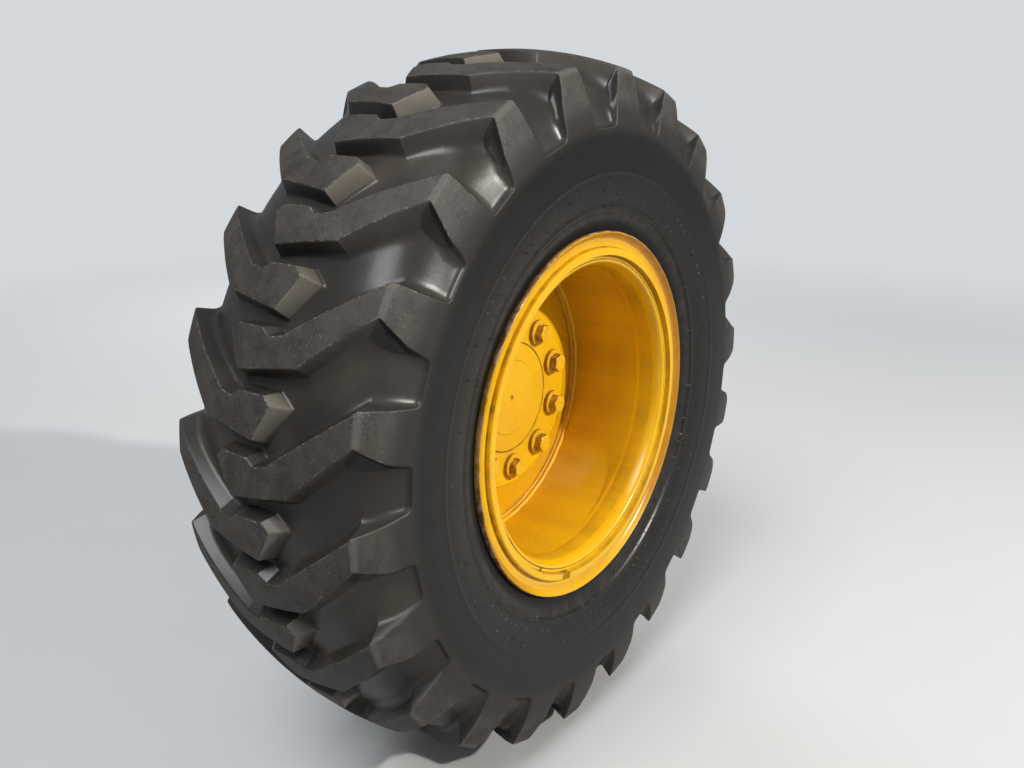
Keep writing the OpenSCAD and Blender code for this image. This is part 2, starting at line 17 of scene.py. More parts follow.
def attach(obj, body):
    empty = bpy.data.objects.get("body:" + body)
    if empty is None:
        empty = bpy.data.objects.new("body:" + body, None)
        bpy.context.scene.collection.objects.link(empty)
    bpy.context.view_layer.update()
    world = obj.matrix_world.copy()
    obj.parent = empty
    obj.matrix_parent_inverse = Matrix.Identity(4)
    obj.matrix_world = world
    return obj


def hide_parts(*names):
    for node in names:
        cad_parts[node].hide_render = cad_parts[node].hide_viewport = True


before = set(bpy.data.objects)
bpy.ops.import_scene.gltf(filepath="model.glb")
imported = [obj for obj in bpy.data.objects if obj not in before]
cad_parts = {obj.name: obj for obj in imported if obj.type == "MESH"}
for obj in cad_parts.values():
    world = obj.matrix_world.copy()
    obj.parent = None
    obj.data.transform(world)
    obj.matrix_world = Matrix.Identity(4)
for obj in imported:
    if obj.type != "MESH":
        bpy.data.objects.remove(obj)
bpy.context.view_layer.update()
print("CAD nodes:", sorted(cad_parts))

# %% [markdown]
# Everything on a wheel is round its axle, so places are given the way a wheelwright would: a
# radius, a turn in degrees from the rear, and a distance across, outboard from the tyre's
# centre plane. The axle lies along Y, and outboard is towards -Y.

# %% Places on the wheel
CENTRE_Y = -0.300


def at(radius, turn, across):
    """A point on the wheel."""
    angle = math.radians(turn)
    return Vector((radius * math.cos(angle), CENTRE_Y - across, radius * math.sin(angle)))


print("The tyre's centre is at", tuple(round(c, 3) for c in at(0, 0, 0)))

# %% [markdown]
# An operator works on all that is selected, so each step first selects its own piece. These
# helpers do that. They also open a piece for editing, put new data in the scene, and join pieces.

# %% Select, edit, add and join


def deselect():
    """Leaves edit mode and deselects everything."""
    if bpy.context.object and bpy.context.object.mode != "OBJECT":
        bpy.ops.object.mode_set(mode="OBJECT")
    bpy.ops.object.select_all(action="DESELECT")


def make_active(piece):
    """Leaves edit mode and selects one piece alone, ready for an operator."""
    deselect()
    piece.select_set(True)
    bpy.context.view_layer.objects.active = piece


def edit(piece):
    """Opens a piece in edit mode, with all of it selected."""
    make_active(piece)
    bpy.ops.object.mode_set(mode="EDIT")
    bpy.ops.mesh.select_all(action="SELECT")


def put_in_scene(name, data):
    """A new object that holds a mesh, a lamp or a camera."""
    thing = bpy.data.objects.new(name, data)
    bpy.context.scene.collection.objects.link(thing)
    return thing


def join(piece, others):
    """Joins other pieces into a piece."""
    make_active(piece)
    for other in others:
        other.select_set(True)
    bpy.ops.object.join()


# %% [markdown]
# ## The tyre
# The tread is a ring of 22 lugs on each side, staggered by half a pitch. A lug starts as a flush
# block on the sidewall, leans back across the shoulder and ends in a hooked nose past the centre
# line. It could be carved from a ring with booleans, but the edges would then be hard, and a
# tyre's are not: the mould leaves a small round on each top edge and a wide one at each foot.
# So one pitch is laid out flat, like an unrolled drawing, with a line for the top edge of the
# rubber and a line for its foot. Between them run the rows of the wall and its two rounds, and
# the flat patches are filled by Delaunay triangles. The pitch is then wrapped onto the tyre.

# %% Sizes of the tyre
LUGS = 22
PITCH = 360 / LUGS
CROWN_R, CROWN_DROP = 0.674, 0.033
HALF_TREAD, HALF_SECTION = 0.200, 0.2225
POCKET_R = 0.540
TOP_ROUND = 0.0030
# The shoulder's round starts and ends at these values of along
ROUND_START, ROUND_END = 1 - 0.030, 1 + 0.056
# How fast the outside of the lugs turns down into the sidewall
SHOULDER_POWER = 1.6


def between(stations, t):
    """A smooth curve through stations of (t, across, radius)."""
    k = max(i for i in range(len(stations) - 1) if stations[i][0] <= t or i == 0)
    picks = [stations[min(max(i, 0), len(stations) - 1)] for i in range(k - 1, k + 3)]
    t0, t1, t2, t3 = [p[0] for p in picks]
    share = (t - t1) / (t2 - t1)
    out = []
    for axis in (1, 2):
        a, b, c, d = [p[axis] for p in picks]
        slope_b = (c - a) / (t2 - t0) * (t2 - t1)
        slope_c = (d - b) / (t3 - t1) * (t2 - t1)
        out.append((2 * share**3 - 3 * share**2 + 1) * b
                   + (share**3 - 2 * share**2 + share) * slope_b
                   + (3 * share**2 - 2 * share**3) * c
                   + (share**3 - share**2) * slope_c)
    return Vector(out)


def outside_raw(along):
    """Across and radius of the lugs' outside, with a sharp shoulder at along = 1."""
    if along <= 1:
        return Vector((along * HALF_TREAD, CROWN_R - CROWN_DROP * along**2))
    rest = max(2 - along, 0)
    shoulder_r = CROWN_R - CROWN_DROP
    return Vector((HALF_TREAD + (HALF_SECTION - HALF_TREAD) * (1 - rest**SHOULDER_POWER),
                   shoulder_r - (along - 1) * (shoulder_r - POCKET_R)))


def outside(along):
    """The same with the shoulder rounded."""
    if not ROUND_START < along < ROUND_END:
        return outside_raw(along)
    t = (along - ROUND_START) / (ROUND_END - ROUND_START)
    return (outside_raw(ROUND_START) * (1 - t)**2 + outside_raw(1) * 2 * t * (1 - t)
            + outside_raw(ROUND_END) * t**2)


# Floor of the grooves and pockets: along, across, radius
FLOOR = [(0.0, 0.0, 0.6460), (0.3, 0.060, 0.6430), (0.6, 0.120, 0.6345), (0.8, 0.158, 0.6225),
         (0.95, 0.1800, 0.6060), (1.1, 0.1925, 0.5915), (1.3, 0.2005, 0.5770),
         (1.6, 0.2080, 0.5605), (1.85, 0.2130, 0.5478), (2.0, 0.2155, 0.5400),
         (2.2, 0.2165, 0.530)]
print("Grooves at the centre line are", round((CROWN_R - FLOOR[0][2]) * 1000), "mm deep")

# %% [markdown]
# The lug's outline is a short table. Along counts half tread widths from the centre line to 1 at
# the shoulder, then to 2 at the bottom of the shoulder pocket. Around counts pitches. Each row
# has a place on the top edge and one at the foot, the corner's radius at both, and the width of
# the round at the foot. The foot stands further out than the top, which is the mould's draft.

# %% Outline of one lug
# along, around at the top; along, around at the foot; corner radius; width of the foot's round
LUG = [
    (2.00, -0.075, 1.955, -0.112, 0.015, 0.014),
    (1.50, -0.030, 1.500, -0.080, 0.000, 0.019),
    (1.00, 0.000, 1.000, -0.052, 0.006, 0.017),
    (0.70, 0.250, 0.690, 0.190, 0.020, 0.012),
    (0.28, 0.575, 0.270, 0.512, 0.004, 0.008),
    (0.15, 0.605, 0.168, 0.560, 0.004, 0.005),
    (0.07, 0.545, 0.090, 0.508, 0.004, 0.004),
    (-0.21, 0.540, -0.245, 0.503, 0.004, 0.004),
    (-0.28, 0.610, -0.390, 0.630, 0.004, 0.006),
    (-0.12, 0.905, -0.165, 0.948, 0.004, 0.004),
    (0.47, 0.800, 0.490, 0.852, 0.006, 0.008),
    (0.70, 0.580, 0.715, 0.660, 0.020, 0.016),
    (1.00, 0.290, 1.005, 0.362, 0.006, 0.022),
    (1.50, 0.430, 1.500, 0.492, 0.000, 0.022),
    (2.00, 0.480, 1.955, 0.520, 0.015, 0.016)]
# Length of a pitch and of the stretch below the shoulder, both laid out flat
FLAT_PITCH, END_LENGTH = 0.180, 0.1035
NEXT = Vector((FLAT_PITCH, 0))
# Distance between the points of the outline, and the sharpest corner that it may have
POINT_SPACING, LEAST_CORNER = 0.016, 0.0004


def flat(along, around):
    """A place of the layout in flat metres."""
    size = abs(along)
    y = size * HALF_TREAD if size <= 1 else HALF_TREAD + (size - 1) * END_LENGTH
    return Vector((around * FLAT_PITCH, math.copysign(y, along)))


def wrap(point, depth=0.0):
    """A flat place on the tyre; depth runs from 0 at the top of the lugs to 1 at the floor."""
    size = abs(point.y)
    along = size / HALF_TREAD if size <= HALF_TREAD else 1 + (size - HALF_TREAD) / END_LENGTH
    across, radius = outside(along).lerp(between(FLOOR, along), depth)
    return at(radius, point.x / FLAT_PITCH * PITCH, math.copysign(across, point.y))


def on_line(points, i):
    """Point i of a line that repeats with every pitch."""
    return points[i % len(points)] + NEXT * (i // len(points))


def outline(corners, shifts, radii, counts):
    """Rounds a repeating line of corners, moved sideways, into evenly counted points."""
    moved, turns = [], []
    for i, shift in enumerate(shifts):
        before = (on_line(corners, i) - on_line(corners, i - 1)).normalized()
        after = (on_line(corners, i + 1) - on_line(corners, i)).normalized()
        out_before, out_after = Vector((before.y, -before.x)), Vector((after.y, -after.x))
        miter = (out_before + out_after) / (1 + out_before.dot(out_after))
        moved.append(corners[i] + miter * shift)
        turns.append(before.cross(after))
    arcs = []
    for i, here in enumerate(moved):
        if radii[i] == 0:
            arcs.append([here])
            continue
        back, on = on_line(moved, i - 1) - here, on_line(moved, i + 1) - here
        radius = max(radii[i] + math.copysign(shifts[i], shifts[i] * turns[i]), LEAST_CORNER)
        half_turn = (math.pi - back.angle(on)) / 2
        reach = min(radius * math.tan(half_turn), 0.42 * min(back.length, on.length))
        a, b = here + back.normalized() * reach, here + on.normalized() * reach
        arcs.append([a.lerp(here, t).lerp(here.lerp(b, t), t) for t in (0, 0.25, 0.5, 0.75, 1)])
    starts = [line[0] for line in arcs]
    points = []
    for i, line in enumerate(arcs):
        points += line + [line[-1].lerp(on_line(starts, i + 1), k / counts[i])
                          for k in range(1, counts[i])]
    return points


TOPS = [flat(row[0], row[1]) for row in LUG]
FEET = [flat(row[2], row[3]) for row in LUG]
RADII = [row[4] for row in LUG]
ROUNDS = [row[5] for row in LUG]
COUNTS = [max(round((on_line(TOPS, i + 1) - top).length / POINT_SPACING), 1)
          for i, top in enumerate(TOPS)]
top_line = outline(TOPS, [0] * len(LUG), RADII, COUNTS)
inner_line = outline(TOPS, [-TOP_ROUND] * len(LUG), RADII, COUNTS)
foot_line = outline(FEET, [0] * len(LUG), RADII, COUNTS)
floor_line = outline(FEET, ROUNDS, RADII, COUNTS)
print("Points along one pitch of the lugs' edge:", len(top_line))

# %% [markdown]
# Each point of the edge now gets its row of points down the wall. A curve of three points makes
# the round at the top, a straight run the wall, and another curve the wide round at the foot.

# %% The wall's rows
TOP_STEPS, FOOT_STEPS = 3, 4
# The most of a low wall that each round may take
MOST_TOP, MOST_FOOT = 0.4, 0.55


def round_over(a, b, c, steps):
    """Points of a round from a to c that leans towards b."""
    return [a.lerp(b, k / steps).lerp(b.lerp(c, k / steps), k / steps) for k in range(steps + 1)]


def wall_column(i):
    """Points from the lug's top down to the groove's floor at point i of the outline."""
    start, top = wrap(inner_line[i]), wrap(top_line[i])
    foot, end = wrap(foot_line[i], 1.0), wrap(floor_line[i], 1.0)
    wall = (foot - top).length
    top_share = min(TOP_ROUND / wall, MOST_TOP)
    foot_share = min((floor_line[i] - foot_line[i]).length / wall, MOST_FOOT)
    return (round_over(start, top, top.lerp(foot, top_share), TOP_STEPS)
            + round_over(foot.lerp(top, foot_share), foot, end, FOOT_STEPS))


columns = [wall_column(i) for i in range(len(top_line))]
print("Wall:", len(columns), "columns of", len(columns[0]), "points")

# %% [markdown]
# The lugs' tops with the strip of sidewall below them, and the floor of the grooves, are flat
# patches with ragged edges. Delaunay triangles fill each one: its edge is given as a polygon,
# and a loose grid of points inside makes it follow the tyre's curve.

# %% Fill the flat patches
RING_ALONG, RING_STEPS, RING_START = 2.16, 12, -0.10
GRID = 0.020


def inside(polygon, p, margin):
    """Whether p is in the polygon and clear of its edge."""
    hit = False
    for a, b in zip(polygon, polygon[1:] + polygon[:1]):
        if (a.y > p.y) != (b.y > p.y) and p.x < (b.x - a.x) * (p.y - a.y) / (b.y - a.y) + a.x:
            hit = not hit
        near, share = intersect_point_line(p, a, b)
        if (p - (near.to_2d() if 0 < share < 1 else a)).length < margin:
            return False
    return hit


def fill(polygon, extra=()):
    """Triangles over a polygon as (flat points, faces)."""
    low = Vector((min(p.x for p in polygon), min(p.y for p in polygon)))
    high = Vector((max(p.x for p in polygon), max(p.y for p in polygon)))
    grid = []
    for row in range(int((high.y - low.y) / GRID) + 1):
        for col in range(int((high.x - low.x) / GRID) + 1):
            p = low + Vector((col + 0.5 * (row % 2), row)) * GRID
            if inside(polygon, p, GRID * 0.4):
                grid.append(p)
    grid += [p for p in extra if inside(polygon, p, 0.003)]
    far = [low - Vector((1, 1)), low + Vector((2, -1)), high + Vector((1, 1)),
           high + Vector((-2, 1))]
    points, _, faces, *_ = delaunay_2d_cdt(
        polygon + grid + far, [], [list(range(len(polygon)))], 0, 1e-7, True)
    kept = [(a, b, c) for a, b, c in faces
            if inside(polygon, (points[a] + points[b] + points[c]) / 3, 0)]
    used = sorted({k for face in kept for k in face})
    place_of = {k: i for i, k in enumerate(used)}
    return [points[k] for k in used], [[place_of[k] for k in face] for face in kept]


ring_line = [flat(RING_ALONG, RING_START + k / RING_STEPS) for k in range(RING_STEPS + 1)]
top_patch = inner_line + [inner_line[0] + NEXT] + ring_line[::-1]
shoulder_rows = [Vector((0.007 * k - 0.02, HALF_TREAD + shift)) for k in range(14)
                 for shift in (-0.006, -0.003, 0.0, 0.003, 0.006)]
top_points, top_faces = fill(top_patch, shoulder_rows)

# The floor lies between this side's line and the other side's, cut where they come closest
opposite = [Vector((p.x + FLAT_PITCH / 2, -p.y)) for p in floor_line]
gap, ours_from, theirs_from = min(
    ((p - (q + NEXT * pitches)).length, i, j + pitches * len(opposite))
    for i, p in enumerate(floor_line) for j, q in enumerate(opposite) for pitches in (-1, 0, 1)
    if p.y < 0 and i > len(floor_line) * 0.4)
ours = [on_line(floor_line, ours_from + k) for k in range(len(floor_line) + 1)]
theirs = [on_line(opposite, theirs_from + k) for k in range(len(opposite) + 1)]
floor_points, floor_faces = fill(ours + theirs[::-1])
print("Smallest groove at the floor:", round(gap * 1000, 1), "mm;", len(top_faces), "+",
      len(floor_faces), "triangles in the patches of one pitch")

# %% [markdown]
# Walls, tops and floor are now put together as one pitch of the tread. Each point remembers how
# deep in the groove it lies, because the rubber's finish changes with it.

# %% Assemble one pitch
shell = bmesh.new()
groove = shell.verts.layers.float.new("groove")


def add_faces(points, faces, depths):
    """Adds faces over a list of places to the shell, each place with its depth in the groove."""
    verts = [shell.verts.new(p) for p in points]
    for vert, depth in zip(verts, depths):
        vert[groove] = depth
    for face in faces:
        if len({tuple(round(c, 6) for c in points[k]) for k in face}) == len(face):
            shell.faces.new([verts[k] for k in face])


def other_side(p):
    """The same place on the inboard half, half a pitch on."""
    return Matrix.Rotation(math.radians(-PITCH / 2), 3, "Y") @ Vector(
        (p.x, 2 * CENTRE_Y - p.y, p.z))


rows = len(columns[0])
next_pitch = Matrix.Rotation(math.radians(-PITCH), 3, "Y")
wall_points = [p for column in columns for p in column] + [next_pitch @ p for p in columns[0]]
wall_faces = [(i * rows + k, (i + 1) * rows + k, (i + 1) * rows + k + 1, i * rows + k + 1)
              for i in range(len(columns)) for k in range(rows - 1)]
wall_depths = [min(k / (rows - 3), 1) for _ in range(len(columns) + 1) for k in range(rows)]
cap_points = [wrap(p) for p in top_points]
for move in (lambda p: p, other_side):
    add_faces([move(p) for p in wall_points], wall_faces, wall_depths)
    add_faces([move(p) for p in cap_points], top_faces, [0] * len(cap_points))
add_faces([wrap(p, 1.0) for p in floor_points], floor_faces, [1] * len(floor_points))

tyre_mesh = bpy.data.meshes.new("tyre_rubber")
shell.to_mesh(tyre_mesh)
shell.free()
tyre = put_in_scene("tyre_rubber", tyre_mesh)
print("One pitch has", len(tyre_mesh.polygons), "faces")

# %% [markdown]
# The spin operator copies the pitch round the axle, and then turns the profile of the sidewall,
# bead and inner liner between the two edges of the tread. The profile starts as a circle of
# points, which are moved to their stations. The sidewall bulges gently, carries a fine mould
# line, and has the low rim guard next to the flange.

# %% Copy the pitch and turn the sidewalls
# Outboard wall from the tread's edge to the bead's toe: across, radius
SIDEWALL = [
    (0.2224, 0.522), (0.2223, 0.510), (0.2220, 0.499), (0.2212, 0.488), (0.2198, 0.4745),
    (0.2189, 0.4650), (0.2190, 0.4638), (0.2188, 0.4620), (0.2180, 0.4608), (0.2172, 0.4550),
    (0.2158, 0.4450), (0.2140, 0.4358), (0.2118, 0.4270), (0.2096, 0.4190), (0.2072, 0.4110),
    (0.2048, 0.4035), (0.2050, 0.4015), (0.2048, 0.3990), (0.2036, 0.3968), (0.2010, 0.3952),
    (0.1998, 0.3930), (0.1990, 0.3900), (0.1992, 0.3884), (0.1986, 0.3862), (0.1968, 0.3815),
    (0.1948, 0.3765), (0.1922, 0.3710), (0.1890, 0.3650), (0.1866, 0.3600), (0.1856, 0.3575),
    (0.1852, 0.3557), (0.1846, 0.3536), (0.1818, 0.3514),
    (0.1790, 0.3470), (0.1777, 0.3410), (0.1777, 0.3250), (0.1768, 0.3200), (0.1740, 0.3176),
    (0.1550, 0.3158), (0.1300, 0.3136), (0.1282, 0.3150), (0.1290, 0.3220)]
LINER = [(0.1380, 0.340), (0.1600, 0.372), (0.1820, 0.415), (0.1955, 0.465), (0.1985, 0.510),
         (0.1900, 0.555), (0.1700, 0.583), (0.1440, 0.601), (0.0800, 0.616), (0.0, 0.622)]
TYRE_MERGE = 0.00004


def spin(sweep, steps, axis=(0, 1, 0), copies=False):
    """Spins what is selected in edit mode round the axle."""
    bpy.ops.mesh.spin(steps=steps, dupli=copies, angle=math.radians(sweep), center=(0, 0, 0),
                      axis=axis)


def ring_of_copies(piece, count):
    """Copies a piece round the axle within its own mesh."""
    edit(piece)
    spin(360 - 360 / count, count - 1, copies=True)
    deselect()


def drawn_section(name, section, turn):
    """A closed line through the stations (across, radius) of a section."""
    deselect()
    bpy.ops.mesh.primitive_circle_add(vertices=len(section), radius=0.1, fill_type="NOTHING")
    piece = bpy.context.object
    piece.name = name
    for vertex, (across, radius) in zip(piece.data.vertices, section):
        vertex.co = at(radius, turn, across)
    return piece


ring_of_copies(tyre, LUGS)
half = [tuple(outside(RING_ALONG))] + SIDEWALL + LINER
profile = half + [(-across, radius) for across, radius in half[-2::-1]]
wall = drawn_section("tyre_wall", profile, RING_START * PITCH)
edit(wall)
bpy.ops.mesh.select_all(action="DESELECT")
bpy.ops.object.mode_set(mode="OBJECT")
# The line's two ends are the edges of the tread, so the edge that joins them is taken out
for edge in wall.data.edges:
    edge.select = set(edge.vertices) == {0, len(profile) - 1}
bpy.ops.object.mode_set(mode="EDIT")
bpy.ops.mesh.select_mode(type="EDGE")
bpy.ops.mesh.delete(type="EDGE_FACE")
bpy.ops.mesh.select_all(action="SELECT")
spin(360, LUGS * RING_STEPS)
join(tyre, [wall])
edit(tyre)
bpy.ops.mesh.remove_doubles(threshold=TYRE_MERGE)
bpy.ops.mesh.normals_make_consistent(inside=False)
bpy.ops.mesh.select_all(action="DESELECT")
bpy.ops.mesh.select_non_manifold(extend=False)
make_active(tyre)
print("Tyre:", len(tyre.data.polygons), "faces,",
      len([e for e in tyre.data.edges if e.select]), "open edges")
bpy.ops.object.shade_smooth_by_angle(angle=math.radians(38))
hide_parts("tyre")
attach(tyre, "wheel")

# %% [markdown]
# A mould breathes through small vents, and each one leaves a thin whisker of rubber. The road
# wears them off the tread, but they stay on the sidewall. One whisker is a slim cone with a few
# cuts along it, and each copy is bent and laid over at random.

# %% Whiskers
WHISKERS, WHISKER_LENGTH, WHISKER_FOOT = 132, 0.010, 0.0012


def standing(add, depth, middle, **sizes):
    """A cone or cylinder along Z, its middle at a height, its place kept in its mesh."""
    deselect()
    add(depth=depth, location=(0, 0, middle), **sizes)
    bpy.ops.object.transform_apply(location=True, rotation=True, scale=True)
    return bpy.context.object


seed_whisker = standing(bpy.ops.mesh.primitive_cone_add, WHISKER_LENGTH, WHISKER_LENGTH / 2,
                        vertices=6, radius1=0.0008, radius2=0.0003)
edit(seed_whisker)
for height in (0.0035, 0.0065, 0.0085):
    bpy.ops.mesh.select_all(action="SELECT")
    bpy.ops.mesh.bisect(plane_co=(0, 0, height), plane_no=(0, 0, 1))
deselect()
wall_places = [(radius, across) for across, radius in SIDEWALL if 0.398 < radius < 0.437]
dice = random.Random(12)
whiskers = []
for _ in range(WHISKERS):
    hair = put_in_scene("whisker", seed_whisker.data.copy())
    radius, across = dice.choice(wall_places)
    turn = dice.uniform(0, 360)
    bend, side = dice.uniform(25, 60), dice.uniform(-0.5, 0.5)
    for vertex in hair.data.vertices:
        vertex.co.x += bend * vertex.co.z**2
        vertex.co.y += side * vertex.co.z
    hair.data.transform(Matrix.Scale(dice.uniform(0.5, 1.0), 4))
    hair.data.transform(Matrix.Rotation(dice.uniform(0, 6.28), 4, "Z"))
    out_of_wall = (at(1, turn, 0.9) - at(0, turn, 0)).normalized()
    hair.data.transform(out_of_wall.to_track_quat("Z", "Y").to_matrix().to_4x4())
    hair.data.transform(Matrix.Translation(at(radius, turn, across - WHISKER_FOOT)))
    whiskers.append(hair)
bpy.data.objects.remove(seed_whisker)
whisker_mesh = whiskers[0]
join(whisker_mesh, whiskers[1:])
whisker_mesh.name = "tyre_whiskers"
bpy.ops.object.shade_smooth()
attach(whisker_mesh, "wheel")
print("Whiskers:", len(whisker_mesh.data.polygons), "faces, furthest out",
      round(CENTRE_Y - min(v.co.y for v in whisker_mesh.data.vertices), 4))

# %% [markdown]
# ## Turned pieces
# The rim is five rings, and a lathe is the natural way to make a ring: its cut section is drawn
# beside the axle and spun round it. One helper turns the section, closes the ends where a ring is
# split, and rounds its corners with a bevel, because rolled and painted steel has no sharp edge.
# Weighted normals then keep the long faces even beside their narrow rounds. Another draws the
# arcs of a section, and the last one gives a finished piece its CAD node's place.

# %% A lathe
MERGE = 0.00001


def arc(centre_across, centre_r, radius, first, last, steps):
    """Points of an arc in a section; 0 degrees points outboard and 90 away from the axle."""
    out = []
    for k in range(steps + 1):
        angle = math.radians(first + (last - first) * k / steps)
        out.append((centre_across + radius * math.cos(angle), centre_r + radius * math.sin(angle)))
    return out


def round_edges(piece, width, segments=2, angle=28):
    """Bevels the sharp edges of a piece and shades it smooth."""
    make_active(piece)
    bevel = piece.modifiers.new("round", "BEVEL")
    bevel.width = width
    bevel.segments = segments
    bevel.limit_method = "ANGLE"
    bevel.angle_limit = math.radians(angle)
    bpy.ops.object.modifier_apply(modifier="round")
    bpy.ops.object.shade_smooth_by_angle(angle=math.radians(40))
    even = piece.modifiers.new("even", "WEIGHTED_NORMAL")
    even.keep_sharp = True
    bpy.ops.object.modifier_apply(modifier="even")


def turned(name, section, steps=240, start=0.0, sweep=360.0, width=0.001):
    """Turns a closed section of (across, radius) round the axle."""
    piece = drawn_section(name, section, start)
    edit(piece)
    spin(sweep, steps, axis=(0, -1, 0))
    bpy.ops.mesh.select_all(action="SELECT")
    bpy.ops.mesh.remove_doubles(threshold=MERGE)
    if sweep < 360:
        bpy.ops.mesh.select_all(action="DESELECT")
        bpy.ops.mesh.select_non_manifold(extend=False)
        bpy.ops.mesh.edge_face_add()
        bpy.ops.mesh.select_all(action="SELECT")
    bpy.ops.mesh.normals_make_consistent(inside=False)
    deselect()
    if width:
        round_edges(piece, width)
    return piece


def settle(piece, node, body="wheel"):
    """A finished piece takes a CAD node's place and rides on its body."""
    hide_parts(node)
    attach(piece, body)
    print(piece.name, "-", len(piece.data.polygons), "faces")
    return piece


# %% [markdown]
# ## The five-piece rim
# From the axle outwards: the rim base is a barrel with a fixed shoulder inboard and a thick
# gutter outboard. The two flanges hold the tyre's beads and end in a rolled lip. The bead seat
# band slides on from outboard, and the split lock ring snaps into the gutter and holds it all.

# %% Rim base and flanges
BARREL_R, BARREL_BORE, GUTTER_BORE = 0.306, 0.297, 0.290
SEAT_R, STOP_R = 0.3175, 0.325
HALF_RIM = 0.178
BARREL_END = HALF_RIM + 0.008
# The gutter's outboard end is rounded on the inside, over this length and height
MOUTH_START, MOUTH_RISE = 0.150, 0.0115
LIP_CENTRE_R, LIP_CURL = 0.341, 0.015

mouth = [(MOUTH_START + (BARREL_END - MOUTH_START) * math.sin(math.radians(t)),
          GUTTER_BORE + MOUTH_RISE * (1 - math.cos(math.radians(t)))) for t in range(90, -1, -9)]
rim_base = settle(turned("rim_base_painted", [
    (-0.196, BARREL_BORE), (-0.196, STOP_R), (-0.186, STOP_R), (-0.186, SEAT_R),
    (-HALF_RIM, SEAT_R), (-0.128, 0.3131), (-0.086, BARREL_R), (0.1375, BARREL_R),
    (0.1375, 0.299), (0.1465, 0.299), (0.1465, BARREL_R), (0.166, BARREL_R), (0.168, 0.302),
    (0.182, 0.302), (0.183, 0.3035), (BARREL_END, 0.3035)] + mouth + [
    (0.134, GUTTER_BORE), (0.120, BARREL_BORE)]), "rim_base")


def flange_section(side):
    """Section of a flange: a flat foot, and a lip that flares away from the tyre."""
    foot = HALF_RIM + 0.008
    tyre_face = [(HALF_RIM, 0.3176)] + arc(
        HALF_RIM + LIP_CURL, LIP_CENTRE_R, LIP_CURL, 180, 78, 10)
    flare = [(foot + 0.0118, 0.3545), (foot + 0.0120, 0.3528), (foot + 0.0085, 0.3503),
             (foot + 0.0050, 0.3478), (foot + 0.0022, 0.3448), (foot + 0.0006, 0.3412),
             (foot, 0.3370), (foot, 0.3176)]
    return [(side * across, radius) for across, radius in tyre_face + flare]


flanges = [settle(turned(node + "_painted", flange_section(side), width=0.0018), node) for node, side in (("front_flange", 1), ("back_flange", -1))]

# %% [markdown]
# A pry notch is cut into the band's edge, where a fitter lifts the ring out. Its tool is a small
# block, turned to its place round the rim. The lock ring is the same kind of ring with a gap.

# %% Bead seat band and lock ring
PRY_TURN, SPLIT_TURN, SPLIT_GAP = 254, 238, 0.004
NOTCH_SIZE, NOTCH_R, NOTCH_ACROSS = (0.013, 0.010, 0.027), 0.3165, 0.194


def shape_with(piece, tool, operation):
    """Cuts a piece with a tool, or keeps what the two share, and throws the tool away."""
    make_active(piece)
    boolean = piece.modifiers.new("tool", "BOOLEAN")
    boolean.object = tool
    boolean.operation = operation
    bpy.ops.object.modifier_apply(modifier="tool")
    bpy.data.objects.remove(tool)


band = turned("bead_seat_band_painted", [
    (0.086, 0.3061), (0.086, 0.30945), (HALF_RIM, SEAT_R), (BARREL_END, SEAT_R),
    (BARREL_END, STOP_R), (0.194, STOP_R), (0.196, 0.323), (0.196, 0.3115), (0.180, 0.3101),
    (0.166, 0.3061)], width=0)
deselect()
bpy.ops.mesh.primitive_cube_add(size=1)
notch = bpy.context.object
notch.data.transform(Matrix.Diagonal((*NOTCH_SIZE, 1)))
notch.data.transform(Matrix.Translation((NOTCH_R, CENTRE_Y - NOTCH_ACROSS, 0)))
notch.data.transform(Matrix.Rotation(math.radians(-PRY_TURN), 4, "Y"))
shape_with(band, notch, "DIFFERENCE")
round_edges(band, 0.0009)
settle(band, "bead_seat_band")

split = math.degrees(SPLIT_GAP / BARREL_R)
lock_ring = settle(turned("lock_ring_painted", [
    (0.169, 0.3021), (0.167, 0.306), (0.180, 0.310), (0.186, 0.310), (0.186, 0.304),
    (0.182, 0.304), (0.181, 0.3021)], start=SPLIT_TURN + split / 2, sweep=360 - split,
    width=0.0012), "lock_ring")

# %% [markdown]
# ## The disc and its welds
# The disc is pressed from thick plate: a flat pad for the bolts, a chamfer, and a shallow cone
# back to the barrel. A welder joined it to the barrel with two passes that lie side by side.
# Their ripples are small half rounds, so a thin ring is turned in many steps and each step is
# swelled a little, and the line of the bead wanders as a hand does.

# %% Disc
PAD = -0.005
DISC_T = 0.016
# How far a weld's line wanders, and how much its ripples swell
WANDER, RIPPLE = 0.0011, 0.13
disc = turned("wheel_disc_painted", [
    (PAD - DISC_T, 0.1151), (PAD, 0.1151), (PAD, 0.188), (PAD - 0.005, 0.196), (-0.051, 0.2849),
    (-0.051, 0.2969), (-0.067, 0.2969), (-0.067, 0.2809), (PAD - DISC_T, 0.191)], width=0.0016)


def weld_cord(name, across, radius, size, ripples, seed):
    """One pass of weld: a ring of ripples whose line wanders a little."""
    cord = turned(name, arc(across, radius, size, 0, 360, 9)[:-1], steps=ripples * 4, width=0)
    dice = random.Random(seed)
    waves = [(dice.randint(3, 40), dice.uniform(0, 6.28), dice.uniform(0.2, 1.0))
             for _ in range(9)]
    for vertex in cord.data.vertices:
        turn = math.atan2(vertex.co.z, vertex.co.x)
        wander = sum(a * math.sin(n * turn + p) for n, p, a in waves) / 4 * WANDER
        ripple = 1 + RIPPLE * abs(math.sin(turn * ripples / 2)) - 0.06 + wander * 60
        outwards = Vector((math.cos(turn), 0, math.sin(turn)))
        core = at(radius, math.degrees(turn), across)
        moved = core + (Vector((0, -wander, 0)) - outwards * abs(wander) * 0.5)
        vertex.co = moved + (vertex.co - core) * ripple
    make_active(cord)
    bpy.ops.object.shade_smooth_by_angle(angle=math.radians(60))
    return cord


